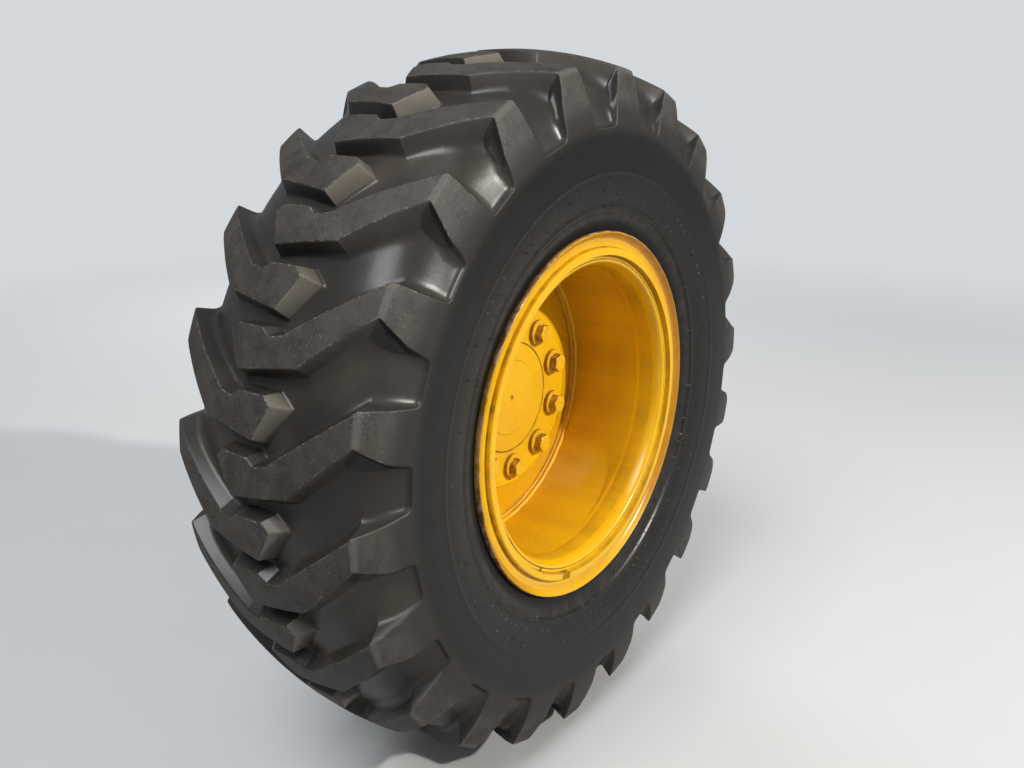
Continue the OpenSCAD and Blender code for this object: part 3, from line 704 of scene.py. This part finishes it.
join(disc, [weld_cord("weld_outer", -0.0405, 0.2955, 0.0052, 300, 3),
            weld_cord("weld_inner", -0.0500, 0.2935, 0.0058, 290, 8),
            weld_cord("weld_back", -0.0680, 0.2945, 0.0058, 290, 5)])
settle(disc, "wheel_disc")

# %% [markdown]
# ## Bolts and washers
# A bolt's head is a six-sided bar whose corners were turned off at 30 degrees, which leaves the
# arcs on its flats. The same is done here: a six-sided cylinder is intersected with a cone. One
# bolt and one washer are made, and the spin operator copies them round the wheel.

# %% Bolts and washers
BOLT_CIRCLE, BOLTS = 0.150, 10
HEAD_AF, HEAD_H, WASHER_R, WASHER_T = 0.034, 0.017, 0.027, 0.009
SHANK_R, SHANK_LENGTH, IN_HEAD = 0.011, 0.0515, 0.001


def round_the_wheel(piece, across):
    """Stands a piece made along Z on the bolt circle, its foot at a place across, and copies it."""
    piece.data.transform(Matrix.Rotation(math.radians(90), 4, "X"))
    piece.data.transform(Matrix.Translation((0, CENTRE_Y - across, BOLT_CIRCLE)))
    ring_of_copies(piece, BOLTS)


cylinder, cone = bpy.ops.mesh.primitive_cylinder_add, bpy.ops.mesh.primitive_cone_add
bolt = standing(cylinder, HEAD_H, HEAD_H / 2, vertices=6, radius=HEAD_AF / math.sqrt(3))
bolt.name = "wheel_bolts_painted"
top_r, deep = HEAD_AF * 0.47, HEAD_H + 0.004
corners_off = standing(cone, deep, HEAD_H - deep / 2, vertices=72, radius2=top_r,
                       radius1=top_r + deep / math.tan(math.radians(30)))
shape_with(bolt, corners_off, "INTERSECT")
round_edges(bolt, 0.0006, angle=20)
shank = standing(cylinder, SHANK_LENGTH, IN_HEAD - SHANK_LENGTH / 2, vertices=32, radius=SHANK_R)
join(bolt, [shank])
round_the_wheel(bolt, PAD + WASHER_T)
settle(bolt, "wheel_bolts")

washer = standing(cylinder, WASHER_T, WASHER_T / 2, vertices=64, radius=WASHER_R)
washer.name = "wheel_washers_painted"
round_edges(washer, 0.0016, segments=3)
round_the_wheel(washer, PAD)
settle(washer, "wheel_washers")

# %% [markdown]
# ## Pieces whose CAD shape is right
# The axle shaft, the spindle housing and its small parts are already the right shape in the CAD
# model, and only their edges are too sharp. A copy of each mesh is merged and its flat faces
# are joined up again, and then a bevel rounds the edges as on the turned pieces.

# %% Soften copies of the CAD solids


def softened(node, slot, body, width):
    """A copy of a CAD node with rounded edges, in its place."""
    piece = put_in_scene(node + "_finished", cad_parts[node].data.copy())
    edit(piece)
    bpy.ops.mesh.remove_doubles(threshold=MERGE)
    bpy.ops.mesh.dissolve_limited(angle_limit=math.radians(0.4))
    round_edges(piece, width, angle=32)
    return settle(piece, node, body)


# Node, material slot, body, width of the bevel
SOFTENED = [
    ("axle_shaft", "hub_paint", "wheel", 0.0010), ("shaft_nut", "bearing_steel", "wheel", 0.0010),
    ("valve_stem", "valve_brass", "wheel", 0.0006),
    ("spindle_housing", "housing_paint", "housing", 0.0020),
    ("chamber_cover", "housing_paint", "housing", 0.0015),
    ("cover_bolts", "bolt_paint", "housing", 0.0005), ("face_seal", "seal_iron", "housing", 0.0008),
    ("brake_port", "fitting_steel", "housing", 0.0005),
    ("bleed_screw", "fitting_steel", "housing", 0.0004)]
finished = [(softened(*row), row[1]) for row in SOFTENED]

# %% [markdown]
# ## Finishes
# Every finish here is built from nodes, and a small class keeps that short: it holds one
# material and has a word for each node that a painter needs. Patterns lie on Object
# coordinates, so they stay on the piece when the wheel turns. On a wheel most wear runs in
# rings, so the class also gives the radius, the place across, and a direction round the axle
# that has no seam. Colour, roughness and relief are laid on in coats, each over the last.

# %% A painter's box


class Nodes:
    """The nodes of a material or of the world."""

    def __init__(self, owner):
        owner.use_nodes = True
        self.nodes = owner.node_tree.nodes
        self.links = owner.node_tree.links

    def put(self, socket, value):
        """Plugs a socket in, or sets a number or colour."""
        if isinstance(value, bpy.types.NodeSocket):
            self.links.new(value, socket)
        elif isinstance(value, tuple) and len(value) == 3 and socket.type == "RGBA":
            socket.default_value = (*value, 1)
        else:
            socket.default_value = value

    def node(self, kind, inputs=None, **settings):
        """A new node with its settings, each input plugged in or set."""
        node = self.nodes.new("ShaderNode" + kind)
        for name, value in settings.items():
            setattr(node, name, value)
        for key, value in (inputs or {}).items():
            self.put(node.inputs[key], value)
        return node

    def seen(self):
        """1 where the camera looks straight at a place."""
        return self.node("LightPath").outputs["Is Camera Ray"]

    def blend(self, mask, below, above, output):
        """Mixes two shaders by a mask for an output."""
        mix = self.node("MixShader", {"Fac": mask, 1: below.outputs[0], 2: above.outputs[0]})
        self.put(self.nodes[output].inputs["Surface"], mix.outputs[0])


class Finish(Nodes):
    """One material, with short words for its nodes."""

    def __init__(self, name, colour, rough, metallic=0.0):
        self.material = bpy.data.materials.new(name)
        super().__init__(self.material)
        self.material.diffuse_color = (*colour, 1)
        self.shader = self.nodes["Principled BSDF"]
        self.set_shader(("Base Color", colour), ("Roughness", rough), ("Metallic", metallic))
        self.place = self.node("TexCoord").outputs["Object"]
        x, y, z = self.node("SeparateXYZ", {0: self.place}).outputs
        self.radius = self.sums("SQRT", self.sums("ADD", self.where(x, x), self.where(z, z)))
        self.across = self.sums("SUBTRACT", CENTRE_Y, y)
        self.along, self.height = x, z
        self.round = self.node("CombineXYZ", {
            0: self.sums("DIVIDE", x, self.radius), 1: self.sums("DIVIDE", z, self.radius),
            2: self.sums("ADD", self.radius, self.across)}).outputs[0]
        self.base = self.rough = self.normal = None

    def set_shader(self, *pairs):
        """Sets or plugs in named sockets of the shader."""
        for socket, value in pairs:
            if value is not None:
                self.put(self.shader.inputs[socket], value)

    # Numbers

    def sums(self, operation, a, b=0.0, c=0.0):
        """A Math node."""
        return self.node("Math", {0: a, 1: b, 2: c}, operation=operation).outputs[0]

    def span(self, value, low, high):
        """Spreads a 0 to 1 value over a range."""
        return self.sums("MULTIPLY_ADD", value, high - low, low)

    def off(self, value, middle):
        """How far a value is from a middle one."""
        return self.sums("ABSOLUTE", self.sums("SUBTRACT", value, middle))

    def wave(self, value, rate):
        """A sine wave."""
        return self.sums("SINE", self.sums("MULTIPLY", value, rate))

    def turn(self):
        """The turn round the axle in radians, from minus pi to pi."""
        return self.sums("ARCTAN2", self.height, self.along)

    def sideways(self):
        """1 where the surface faces along the axle, 0 where it faces away from it."""
        normal = self.node("TexCoord").outputs["Normal"]
        return self.sums("ABSOLUTE", self.node("SeparateXYZ", {0: normal}).outputs[1])

    # Patterns

    def stretch(self, vector, x, y, z):
        """A pattern's coordinates drawn out along some axes."""
        return self.node("Mapping", {"Vector": vector, "Scale": (x, y, z)}).outputs[0]

    def noise(self, scale, detail=4.0, vector=None, rough=0.55, distortion=0.0):
        """Cloudy noise from 0 to 1."""
        return self.node("TexNoise", {
            "Vector": vector or self.place, "Scale": scale, "Detail": detail,
            "Roughness": rough, "Distortion": distortion}).outputs["Fac"]

    # Masks

    def step(self, value, low, high):
        """0 below low, 1 above high, smooth between; low may be the larger one."""
        turned_round = low > high
        return self.node("MapRange", {
            "Value": value, "From Min": min(low, high), "From Max": max(low, high),
            "To Min": 1.0 if turned_round else 0.0, "To Max": 0.0 if turned_round else 1.0},
            interpolation_type="SMOOTHSTEP").outputs["Result"]

    def patches(self, low, high, *noise, **more):
        """A mask on the clouds of a noise."""
        return self.step(self.noise(*noise, **more), low, high)

    def dots(self, scale, low, high):
        """A mask on many scattered dots."""
        cells = self.node("TexVoronoi", {"Vector": self.place, "Scale": scale})
        return self.step(cells.outputs["Distance"], low, high)

    def where(self, mask, *others):
        """Where all masks are; a number weakens them."""
        for other in others:
            mask = self.sums("MULTIPLY", mask, other)
        return mask

    def either(self, a, b):
        """Where one of two masks is."""
        return self.sums("MAXIMUM", a, b)

    def band_of(self, radius, half_width):
        """A mask on a clean band round the axle."""
        return self.step(self.off(self.radius, radius), half_width, half_width * 0.7)

    def ring(self, radius, width, soft=0.6):
        """A mask on a thin ring round the axle, whose width wavers."""
        waver = self.span(self.noise(14, 3, self.round), -width * soft, width * soft)
        away = self.off(self.radius, radius)
        return self.step(self.sums("SUBTRACT", away, waver), width, width * 0.3)

    # Coats

    def colour(self, mask, below, above):
        """Mixes two colours by a mask."""
        return self.node("Mix", {"Factor": mask, 6: below, 7: above},
                         data_type="RGBA").outputs[2]

    def paint(self, mask, colour):
        """Lays a colour over the base where the mask is."""
        self.base = self.colour(mask, self.base, colour)

    def roughen(self, amount):
        """Adds to the roughness."""
        self.rough = self.sums("ADD", self.rough, amount)

    def relief(self, height, depth):
        """Lays a relief of a real depth in metres over the one before."""
        bump = self.node("Bump", {"Strength": 1.0, "Distance": depth, "Height": height})
        if self.normal:
            self.put(bump.inputs["Normal"], self.normal)
        self.normal = bump.outputs["Normal"]

    def show(self):
        """Plugs the coats into the shader."""
        self.set_shader(("Base Color", self.base), ("Roughness", self.rough),
                        ("Normal", self.normal))
        return self.material


def dress(piece, material):
    """Gives a piece one material."""
    piece.data.materials.clear()
    piece.data.materials.append(material)


# %% [markdown]
# ## Tyre rubber
# New rubber is black and satin, but a used tyre is three greys. The tops of the lugs are matt,
# scuffed by the road and specked with pale grit. The grooves keep the mould's gloss under a
# brown film of dust that gathers at the foot of each wall, and the ends of the noses get a pale
# painted highlight. The sidewall is in between, with fine turned lines and broken rows of ticks
# from the mould. The depth stored on the mesh tells top from groove.

# %% Rubber
LUG_RUBBER = (0.0185, 0.0160, 0.0140), (0.0300, 0.0265, 0.0230)
WALL_RUBBER = (0.0080, 0.0072, 0.0066), (0.0135, 0.0122, 0.0108)
# The last colour on the next line is a pale painted highlight for the noses' end walls
WORN_TOP, BROWN_FILM, PAINTED_NOSE_HIGHLIGHT = (0.056, 0.047, 0.039), (0.075, 0.058, 0.040), (0.215, 0.185, 0.145)
EDGE_SCUFF, CORNER_SCUFF = (0.19, 0.165, 0.12), (0.115, 0.108, 0.097)
GRIT, GRAINS, GREEN_STAIN = (0.32, 0.30, 0.25), (0.135, 0.122, 0.100), (0.070, 0.061, 0.042)
# The second colour on the next line is painted near-black shade for the recess behind the flange's
# lip
BEAD_DUST, RECESS_SHADE = (0.060, 0.050, 0.038), (0.0040, 0.0036, 0.0034)
TICK_GREY = (0.060, 0.055, 0.049)
# Spacing of the mould's turned lines, and the ticks in a full row
MOULD_LINE, TICKS = 0.0042, 132


def rubber_finish():
    """Black tyre rubber, scuffed on top, glossy and dusty in the grooves."""
    f = Finish("road_rubber", (0.024, 0.024, 0.026), 0.5)
    f.set_shader(("Specular IOR Level", 0.34))
    depth = f.node("Attribute", attribute_name="groove").outputs["Fac"]
    off_centre = f.sums("ABSOLUTE", f.across)
    tread = f.step(f.radius, 0.560, 0.600)
    top = f.where(f.step(depth, 0.30, 0.05), tread)
    wall_side = f.step(f.radius, 0.548, 0.520)

    clouds = f.noise(9, 5)
    fine = f.noise(160, 5, rough=0.7)
    f.base = f.colour(clouds, *LUG_RUBBER)
    f.paint(wall_side, f.colour(f.noise(13, 5, f.round), *WALL_RUBBER))
    f.paint(f.where(top, f.patches(0.25, 0.70, 26, 6, rough=0.7)), WORN_TOP)
    # A brown film at the foot of the walls and in patches on the floor
    foot = f.where(f.step(depth, 0.45, 0.8), f.patches(0.42, 0.70, 7, 4))
    f.paint(f.where(foot, f.span(fine, 0.15, 0.60)), BROWN_FILM)
    # The walls that face sideways get a pale painted highlight, most of all the ends of the noses
    lug_wall = f.where(f.step(depth, 0.06, 0.14), f.step(depth, 1.0, 0.30))
    nose_highlight = f.where(lug_wall, f.step(f.sideways(), 0.42, 0.72), f.step(f.radius, 0.600, 0.625))
    pale = f.span(f.step(off_centre, 0.105, 0.075), 0.22, 1.0)
    f.paint(f.where(nose_highlight, pale, f.span(f.noise(34, 5, rough=0.65), 0.40, 1.0)), PAINTED_NOSE_HIGHLIGHT)
    # Pale scuffs along the upper edges of the lugs, and a worn band on the shoulder's corner
    rim_of_top = f.where(f.step(depth, 0.02, 0.10), f.step(depth, 0.30, 0.16))
    scuffs = f.patches(0.50, 0.60, 120, 6, rough=0.8)
    f.paint(f.where(rim_of_top, tread, scuffs, 0.80), EDGE_SCUFF)
    corner = f.where(f.step(off_centre, 0.1935, 0.1975), f.step(off_centre, 0.2040, 0.2005))
    f.paint(f.where(corner, top, f.span(f.noise(60, 5, rough=0.7), 0.25, 1.0), 0.8), CORNER_SCUFF)
    # Grit stuck to the tops, and green-brown stains
    f.paint(f.where(f.dots(230, 0.20, 0.06), f.patches(0.46, 0.66, 11, 3), top, 0.85), GRIT)
    f.paint(f.where(f.dots(520, 0.34, 0.14), f.patches(0.44, 0.62, 40, 4), top, 0.5), GRAINS)
    f.paint(f.where(top, f.patches(0.56, 0.76, 5.5, 5, distortion=0.6), 0.40), GREEN_STAIN)
    # Dust lies on the rim guard, and the recess behind the flange's lip is painted near-black as
    # shade
    guard = f.where(f.step(f.radius, 0.408, 0.385), f.patches(0.30, 0.75, 18, 4, f.round))
    f.paint(f.where(guard, 0.35), BEAD_DUST)
    recess_shade = f.step(f.radius, 0.384, 0.366)
    f.paint(recess_shade, RECESS_SHADE)
    # Short ticks that the vents of the mould left, in broken rows round the sidewall
    tick = f.step(f.wave(f.turn(), TICKS), 0.80, 0.97)
    rows = f.either(f.band_of(0.3955, 0.0045),
                    f.either(f.band_of(0.4170, 0.0035), f.band_of(0.4450, 0.0030)))
    ticks = f.where(tick, rows, f.patches(0.50, 0.58, 17, 3, f.round))
    f.paint(f.where(ticks, 0.7), TICK_GREY)

    # The worn tops are the roughest, and the grooves and the sidewall keep some gloss
    f.rough = f.span(clouds, 0.38, 0.48)
    f.roughen(f.where(top, f.span(fine, 0.06, 0.24)))
    f.roughen(f.where(rim_of_top, 0.14))
    f.roughen(f.where(f.step(depth, 0.25, 0.55), -0.10))
    f.roughen(f.where(wall_side, f.span(f.noise(30, 4), -0.15, -0.05)))
    f.roughen(f.where(recess_shade, 0.35))

    # Road scratches run round the tyre
    scratches = f.noise(1, 5, f.stretch(f.round, 60, 60, 1), rough=0.65)
    f.relief(f.where(top, f.where(scratches, f.noise(1, 3, f.stretch(f.place, 55, 700, 55)))),
             0.0011)
    f.relief(fine, 0.00012)
    # Mould lines round the sidewall, the slow swells of a moulded skin, and the ticks
    ring_zone = f.where(f.step(f.radius, 0.412, 0.424), f.step(f.radius, 0.462, 0.452), wall_side)
    f.relief(f.where(f.wave(f.radius, 2 * math.pi / MOULD_LINE), ring_zone), 0.00008)
    f.relief(f.noise(3.2, 2), 0.004)
    f.relief(ticks, 0.0006)
    return f.show()


rubber = rubber_finish()
dress(tyre, rubber)
dress(whisker_mesh, rubber)
print("Rubber:", len(rubber.node_tree.nodes), "nodes")

# %% [markdown]
# ## Yellow enamel
# The rim was brushed over with a thick coat of yellow enamel. Close up it has orange peel, soft
# brush strokes that follow the ring, and a gloss that comes and goes. Dirt stays in the joints
# between the rings, and the paint is chipped down to rust at the lip that rubs on everything. A
# wide ring in the flange's hollow is painted shade, and the orange band on its flare is stain and
# painted shade. One function mixes it, and each use says where the dirt rings, the stains and
# the chips are, and where the paint ends and machined steel begins.

# %% Enamel
YELLOW, DEEP_YELLOW = (0.820, 0.465, 0.006), (0.740, 0.375, 0.004)
RUST, PRIMER, GRIME_AND_SHADE = (0.150, 0.062, 0.028), (0.50, 0.30, 0.21), (0.120, 0.060, 0.020)
SMUDGE, ORANGE_STAIN_AND_SHADE = (0.52, 0.25, 0.035), (0.38, 0.145, 0.006)
ROAD_DUST, DIRTY_RUNS = (0.36, 0.27, 0.15), (0.130, 0.070, 0.028)
BARE_STEEL, GREASY_RUST = (0.34, 0.33, 0.32), (0.185, 0.135, 0.100)
LATHE_LINE = 0.0017


def enamel_finish(name, dirt_and_shade_rings=(), dirt_spots=(), stain_and_shade=None, chipped_over=None,
                  turned_face=False, dusty=0.0, steel_inboard_of=None):
    """Brushed yellow enamel with its dirt and wear, and some painted shade.

    A dirt ring is (radius, width, strength), and a wide, weak one is painted shade in a hollow.
    A dirt spot is (turn, half turn, radius, half width), and the stain (radius, half width) is an
    orange band that is partly painted shade. Chips start over a radius, and bare steel inboard of
    a place across.
    """
    f = Finish(name, YELLOW, 0.32)
    strokes = f.noise(1, 3, f.stretch(f.round, 3, 3, 110))
    f.base = f.colour(f.patches(0.18, 0.62, 6, 5), DEEP_YELLOW, YELLOW)
    f.rough = f.span(f.noise(9, 3), 0.24, 0.32)
    f.paint(f.where(f.step(strokes, 0.52, 0.72), 0.10), DEEP_YELLOW)
    f.relief(f.noise(330, 2), 0.00007)
    f.relief(strokes, 0.00008)
    f.relief(f.noise(26, 1), 0.0005)
    # Specks and drips of dirt under the paint
    f.paint(f.where(f.dots(170, 0.13, 0.05), f.patches(0.56, 0.70, 8, 4), 0.75), GRIME_AND_SHADE)
    f.paint(f.where(f.patches(0.62, 0.85, 7, 6, distortion=0.8), 0.30), SMUDGE)
    if stain_and_shade:
        # An orange band of stain and painted shade, weaker towards the bottom of the wheel
        shaded_upper = f.span(f.step(f.height, -0.33, -0.22), 0.25, 1.0)
        f.paint(f.where(f.band_of(*stain_and_shade), f.span(f.noise(12, 5, f.round), 0.50, 1.0), shaded_upper),
                ORANGE_STAIN_AND_SHADE)
    # Dark dirt rings in the joints; a wide, weak one is painted shade in a hollow
    for radius, width, strength in dirt_and_shade_rings:
        broken = f.span(f.patches(0.34, 0.66, 5, 4, f.stretch(f.round, 1, 1, 0)), 0.45, 1.0)
        f.paint(f.where(f.ring(radius, width), broken, strength), GRIME_AND_SHADE)
    for turn, half_turn, radius, half_width in dirt_spots:
        reach = math.radians(half_turn)
        near = f.step(f.off(f.turn(), math.radians(turn)), reach, reach * 0.6)
        f.paint(f.where(near, f.band_of(radius, half_width),
                        f.span(f.noise(90, 5, rough=0.7), 0.35, 1.0)), GRIME_AND_SHADE)
    if chipped_over:
        edge = f.sums("ADD", f.radius, f.span(f.noise(30, 6, rough=0.75), -0.0034, 0.0034))
        worn = f.step(edge, chipped_over - 0.0006, chipped_over + 0.0008)
        bare = f.where(worn, f.span(f.patches(0.40, 0.54, 2.4, 2), 0.45, 1.0))
        f.paint(bare, f.colour(f.patches(0.42, 0.62, 70, 5), RUST, PRIMER))
        f.roughen(f.where(bare, 0.40))
        f.relief(f.sums("SUBTRACT", 1.0, bare), 0.0004)
    if dusty:
        dust = f.where(f.patches(0.34, 0.72, 5, 6, rough=0.65), dusty)
        f.paint(dust, ROAD_DUST)
        runs = f.patches(0.54, 0.74, 1, 5, f.stretch(f.place, 26, 26, 5), rough=0.65)
        f.paint(f.where(runs, 0.55), DIRTY_RUNS)
        f.roughen(f.where(dust, 0.45))
        f.relief(f.noise(150, 4, rough=0.65), 0.0006)
    if turned_face:
        f.relief(f.wave(f.radius, 2 * math.pi / LATHE_LINE), 0.00004)
    if steel_inboard_of is not None:
        # Unpainted machined steel with a film of rust and grease
        steel = f.step(f.across, steel_inboard_of, steel_inboard_of - 0.0015)
        film = f.patches(0.42, 0.66, 16, 6, rough=0.7)
        f.paint(steel, f.colour(film, BARE_STEEL, GREASY_RUST))
        f.roughen(f.where(steel, f.span(film, 0.02, 0.25)))
        f.set_shader(("Metallic", f.where(steel, 0.85)))
    return f.show()


# The stain on the rings is an orange band of stain and painted shade on the flanges' flare
ring_enamel = enamel_finish("ring_enamel", chipped_over=0.3545, stain_and_shade=(0.3480, 0.0070), dirt_spots=[
    (PRY_TURN - 360, 2.9, 0.3170, 0.0095), (SPLIT_TURN - 360, 0.9, 0.3070, 0.0070)], dirt_and_shade_rings=[
    # The wide, weak ring at 0.338 is painted shade in the flange's hollow
    (0.3262, 0.0016, 0.85), (0.3112, 0.0010, 0.55), (0.3040, 0.0010, 0.8), (0.3380, 0.0060, 0.22)])
rim_enamel = enamel_finish("rim_enamel", dirt_and_shade_rings=[
    (0.3028, 0.0014, 0.8), (0.2902, 0.0012, 0.35), (0.2968, 0.0016, 0.25)])
disc_enamel = enamel_finish("disc_enamel", dirt_and_shade_rings=[
    (0.1160, 0.0016, 0.8), (0.2885, 0.0022, 0.5), (0.1920, 0.0016, 0.25)])
hub_enamel = enamel_finish("hub_enamel", turned_face=True, steel_inboard_of=-0.110, dirt_and_shade_rings=[
    (0.1146, 0.0016, 0.8), (0.0782, 0.0010, 0.6), (0.0045, 0.0022, 0.8)])
cast_enamel = enamel_finish("cast_enamel", dusty=0.55, steel_inboard_of=-0.2985)
for piece in (*flanges, band, lock_ring):
    dress(piece, ring_enamel)
dress(rim_base, rim_enamel)
dress(disc, disc_enamel)
print("Ring enamel:", len(ring_enamel.node_tree.nodes), "nodes")

# %% [markdown]
# The bolts were painted with the wheel and then undone with a wrench. The faces towards you are
# still yellow, and the flats and the washers' edges are worn brown and darkened with painted
# shade. A piece's own normal tells the faces from the flats, and noise breaks the border up.

# %% Finish of the bolts and washers
BROWN_WEAR_AND_SHADE = (0.235, 0.118, 0.040)


def bolt_finish():
    """Yellow on the faces; brown wear and painted shade on the flats."""
    f = Finish("bolt_enamel", (0.80, 0.42, 0.03), 0.4)
    cloud = f.noise(75, 5, rough=0.65)
    # The flats get brown wear and painted shade
    flats = f.where(f.step(f.sideways(), 0.75, 0.35),
                    f.span(f.step(cloud, 0.36, 0.58), 0.35, 1.0), 0.85)
    f.base = f.colour(f.step(cloud, 0.35, 0.70), YELLOW, DEEP_YELLOW)
    f.paint(flats, BROWN_WEAR_AND_SHADE)
    f.paint(f.where(f.patches(0.60, 0.72, 140, 5, rough=0.7), 0.7), GRIME_AND_SHADE)
    f.rough = f.span(cloud, 0.30, 0.58)
    f.relief(f.noise(420, 3), 0.00025)
    f.relief(f.noise(90, 3), 0.0008)
    return f.show()


bolt_enamel = bolt_finish()
dress(bolt, bolt_enamel)
dress(washer, bolt_enamel)
print("Bolt enamel:", len(bolt_enamel.node_tree.nodes), "nodes")

# %% [markdown]
# Bare metal and the small rubber rings are simpler: a base colour that varies a little, an oily
# sheen in patches, and the fine lines that the tool or the mould left. The softened pieces, and
# the bearings and ring whose CAD mesh stays, then take the finish of their material slot.

# %% Metals and seals


def metal_finish(name, light, dark, rough, metallic=1.0):
    """Machined or plated metal with an oil film in patches."""
    f = Finish(name, light, rough, metallic)
    film = f.noise(24, 5, rough=0.65)
    f.base = f.colour(f.step(film, 0.40, 0.70), light, dark)
    f.rough = f.span(film, rough - 0.12, rough + 0.16)
    f.relief(f.noise(1, 3, f.stretch(f.round, 4, 4, 1500)), 0.00003)
    f.relief(f.noise(260, 3), 0.00006)
    return f.show()


FINISH_OF = {
    "hub_paint": hub_enamel, "housing_paint": cast_enamel, "bolt_paint": bolt_enamel,
    "bearing_steel": metal_finish("ground_steel", (0.56, 0.56, 0.57), (0.30, 0.28, 0.25), 0.28),
    "fitting_steel": metal_finish("plated_steel", (0.56, 0.52, 0.43), (0.26, 0.22, 0.16), 0.38),
    "valve_brass": metal_finish("dull_brass", (0.62, 0.45, 0.20), (0.26, 0.18, 0.09), 0.34),
    "seal_iron": metal_finish("black_iron", (0.15, 0.15, 0.155), (0.07, 0.06, 0.05), 0.42, 0.7),
    "seal_rubber": metal_finish("ring_rubber", (0.020, 0.020, 0.021), (0.035, 0.030, 0.026),
                                0.55, 0.0)}
for piece, slot in finished:
    dress(piece, FINISH_OF[slot])
for node, slot in (("outboard_bearing", "bearing_steel"), ("inboard_bearing", "bearing_steel"),
                   ("o_ring", "seal_rubber")):
    for material_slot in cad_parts[node].material_slots:
        material_slot.material = FINISH_OF[slot]
print("Finishes:", sorted(m.name for m in bpy.data.materials if m.users))

# %% [markdown]
# ## Stage, light and camera
# In the photograph a low sun stands outboard, and soft light from above falls on the tread. Here
# a soft lamp stands for the sun, and a wide weak one and the world for the rest. A third lamp
# keeps the inboard side from going dark. The floor is plain and pale, and far out it fades into
# the backdrop. It throws back less light than it shows, so the wheel isn't lit from below.

# %% Stage
BACKDROP = (0.66, 0.69, 0.72)
FLOOR_SIZE, FLOOR_Z = 30, -0.674
FADE_START, FADE_END = 2.0, 6.5
bpy.ops.mesh.primitive_plane_add(size=FLOOR_SIZE, location=(0, 0, FLOOR_Z))
floor = bpy.context.object
floor.name = "floor"
ground = Finish("floor_grey", (0.55, 0.55, 0.55), 0.85)
pale_floor = ground.colour(ground.noise(3, 3), (0.54, 0.54, 0.54), (0.56, 0.56, 0.555))
seen = ground.seen()
ground.base = ground.colour(seen, (0.33, 0.33, 0.33), pale_floor)
dress(floor, ground.show())
from_middle = ground.node("VectorMath", {0: ground.place}, operation="LENGTH").outputs["Value"]
far_out = ground.where(seen, ground.step(from_middle, FADE_START, FADE_END))
ground.blend(far_out, ground.shader, ground.node("Emission", {"Color": BACKDROP}),
             "Material Output")
print("Floor:", len(ground.nodes), "nodes")

# %% [markdown]
# The lamps are square and look at the wheel. A small lamp gives the sun's hard edge of shade, and
# wide ones a soft fill.

# %% Lamps
# Name, place, power in watts, size, colour, whether glossy surfaces mirror it
LAMPS = [
    ("sun_side", (1.5, -6.5, 3.2), 470, 0.28, (1.0, 0.965, 0.91), True),
    ("sky_side", (-3.0, -0.9, 4.4), 250, 2.6, (0.95, 0.975, 1.0), True),
    # Seen flat along the far grooves, its mirror image would glare
    ("back_side", (3.4, 3.9, 2.2), 150, 3.0, (0.96, 0.98, 1.0), False)]
for name, place, power, size, colour, mirrored in LAMPS:
    light = bpy.data.lights.new(name, "AREA")
    light.energy, light.size, light.color = power, size, colour
    lamp = put_in_scene(name, light)
    lamp.location = place
    aim = Vector((0, CENTRE_Y, 0)) - lamp.location
    lamp.rotation_euler = aim.to_track_quat("-Z", "Y").to_euler()
    lamp.visible_glossy = mirrored
    print(name, power, "W at", round(aim.length, 2), "m")

# %% [markdown]
# The world's colour lights the wheel gently. What the camera sees of it is a paler backdrop,
# which the Light Path node tells apart.

# %% Sky
world = bpy.data.worlds.new("sky")
bpy.context.scene.world = world
sky = Nodes(world)
light_sky = sky.nodes["Background"]
sky.put(light_sky.inputs["Color"], (0.83, 0.89, 0.96))
sky.put(light_sky.inputs["Strength"], 0.32)
sky.blend(sky.seen(), light_sky, sky.node("Background", {"Color": BACKDROP}), "World Output")
print("Sky:", len(sky.nodes), "nodes")

# %% [markdown]
# The camera stands outboard and ahead of the wheel, a little above its axle, and looks back and
# down at it. Its place, tilt, turn and lens were fitted to the outlines of the rim and the tyre
# in the photograph.

# %% Camera
CAMERA_PLACE = (-1.399, -1.350, 0.572)
LOOKS_DOWN, LOOKS_ASIDE = 17.2, -53.02
camera = bpy.data.cameras.new("camera")
camera.lens = 31.43
camera.sensor_width = 36
camera_object = put_in_scene("camera", camera)
camera_object.location = CAMERA_PLACE
camera_object.rotation_euler = (math.radians(90 - LOOKS_DOWN), 0, math.radians(LOOKS_ASIDE))
bpy.context.scene.camera = camera_object
bpy.context.scene.view_settings.view_transform = "Standard"
print("Camera: lens", camera.lens, "mm, looks down", LOOKS_DOWN, "degrees")
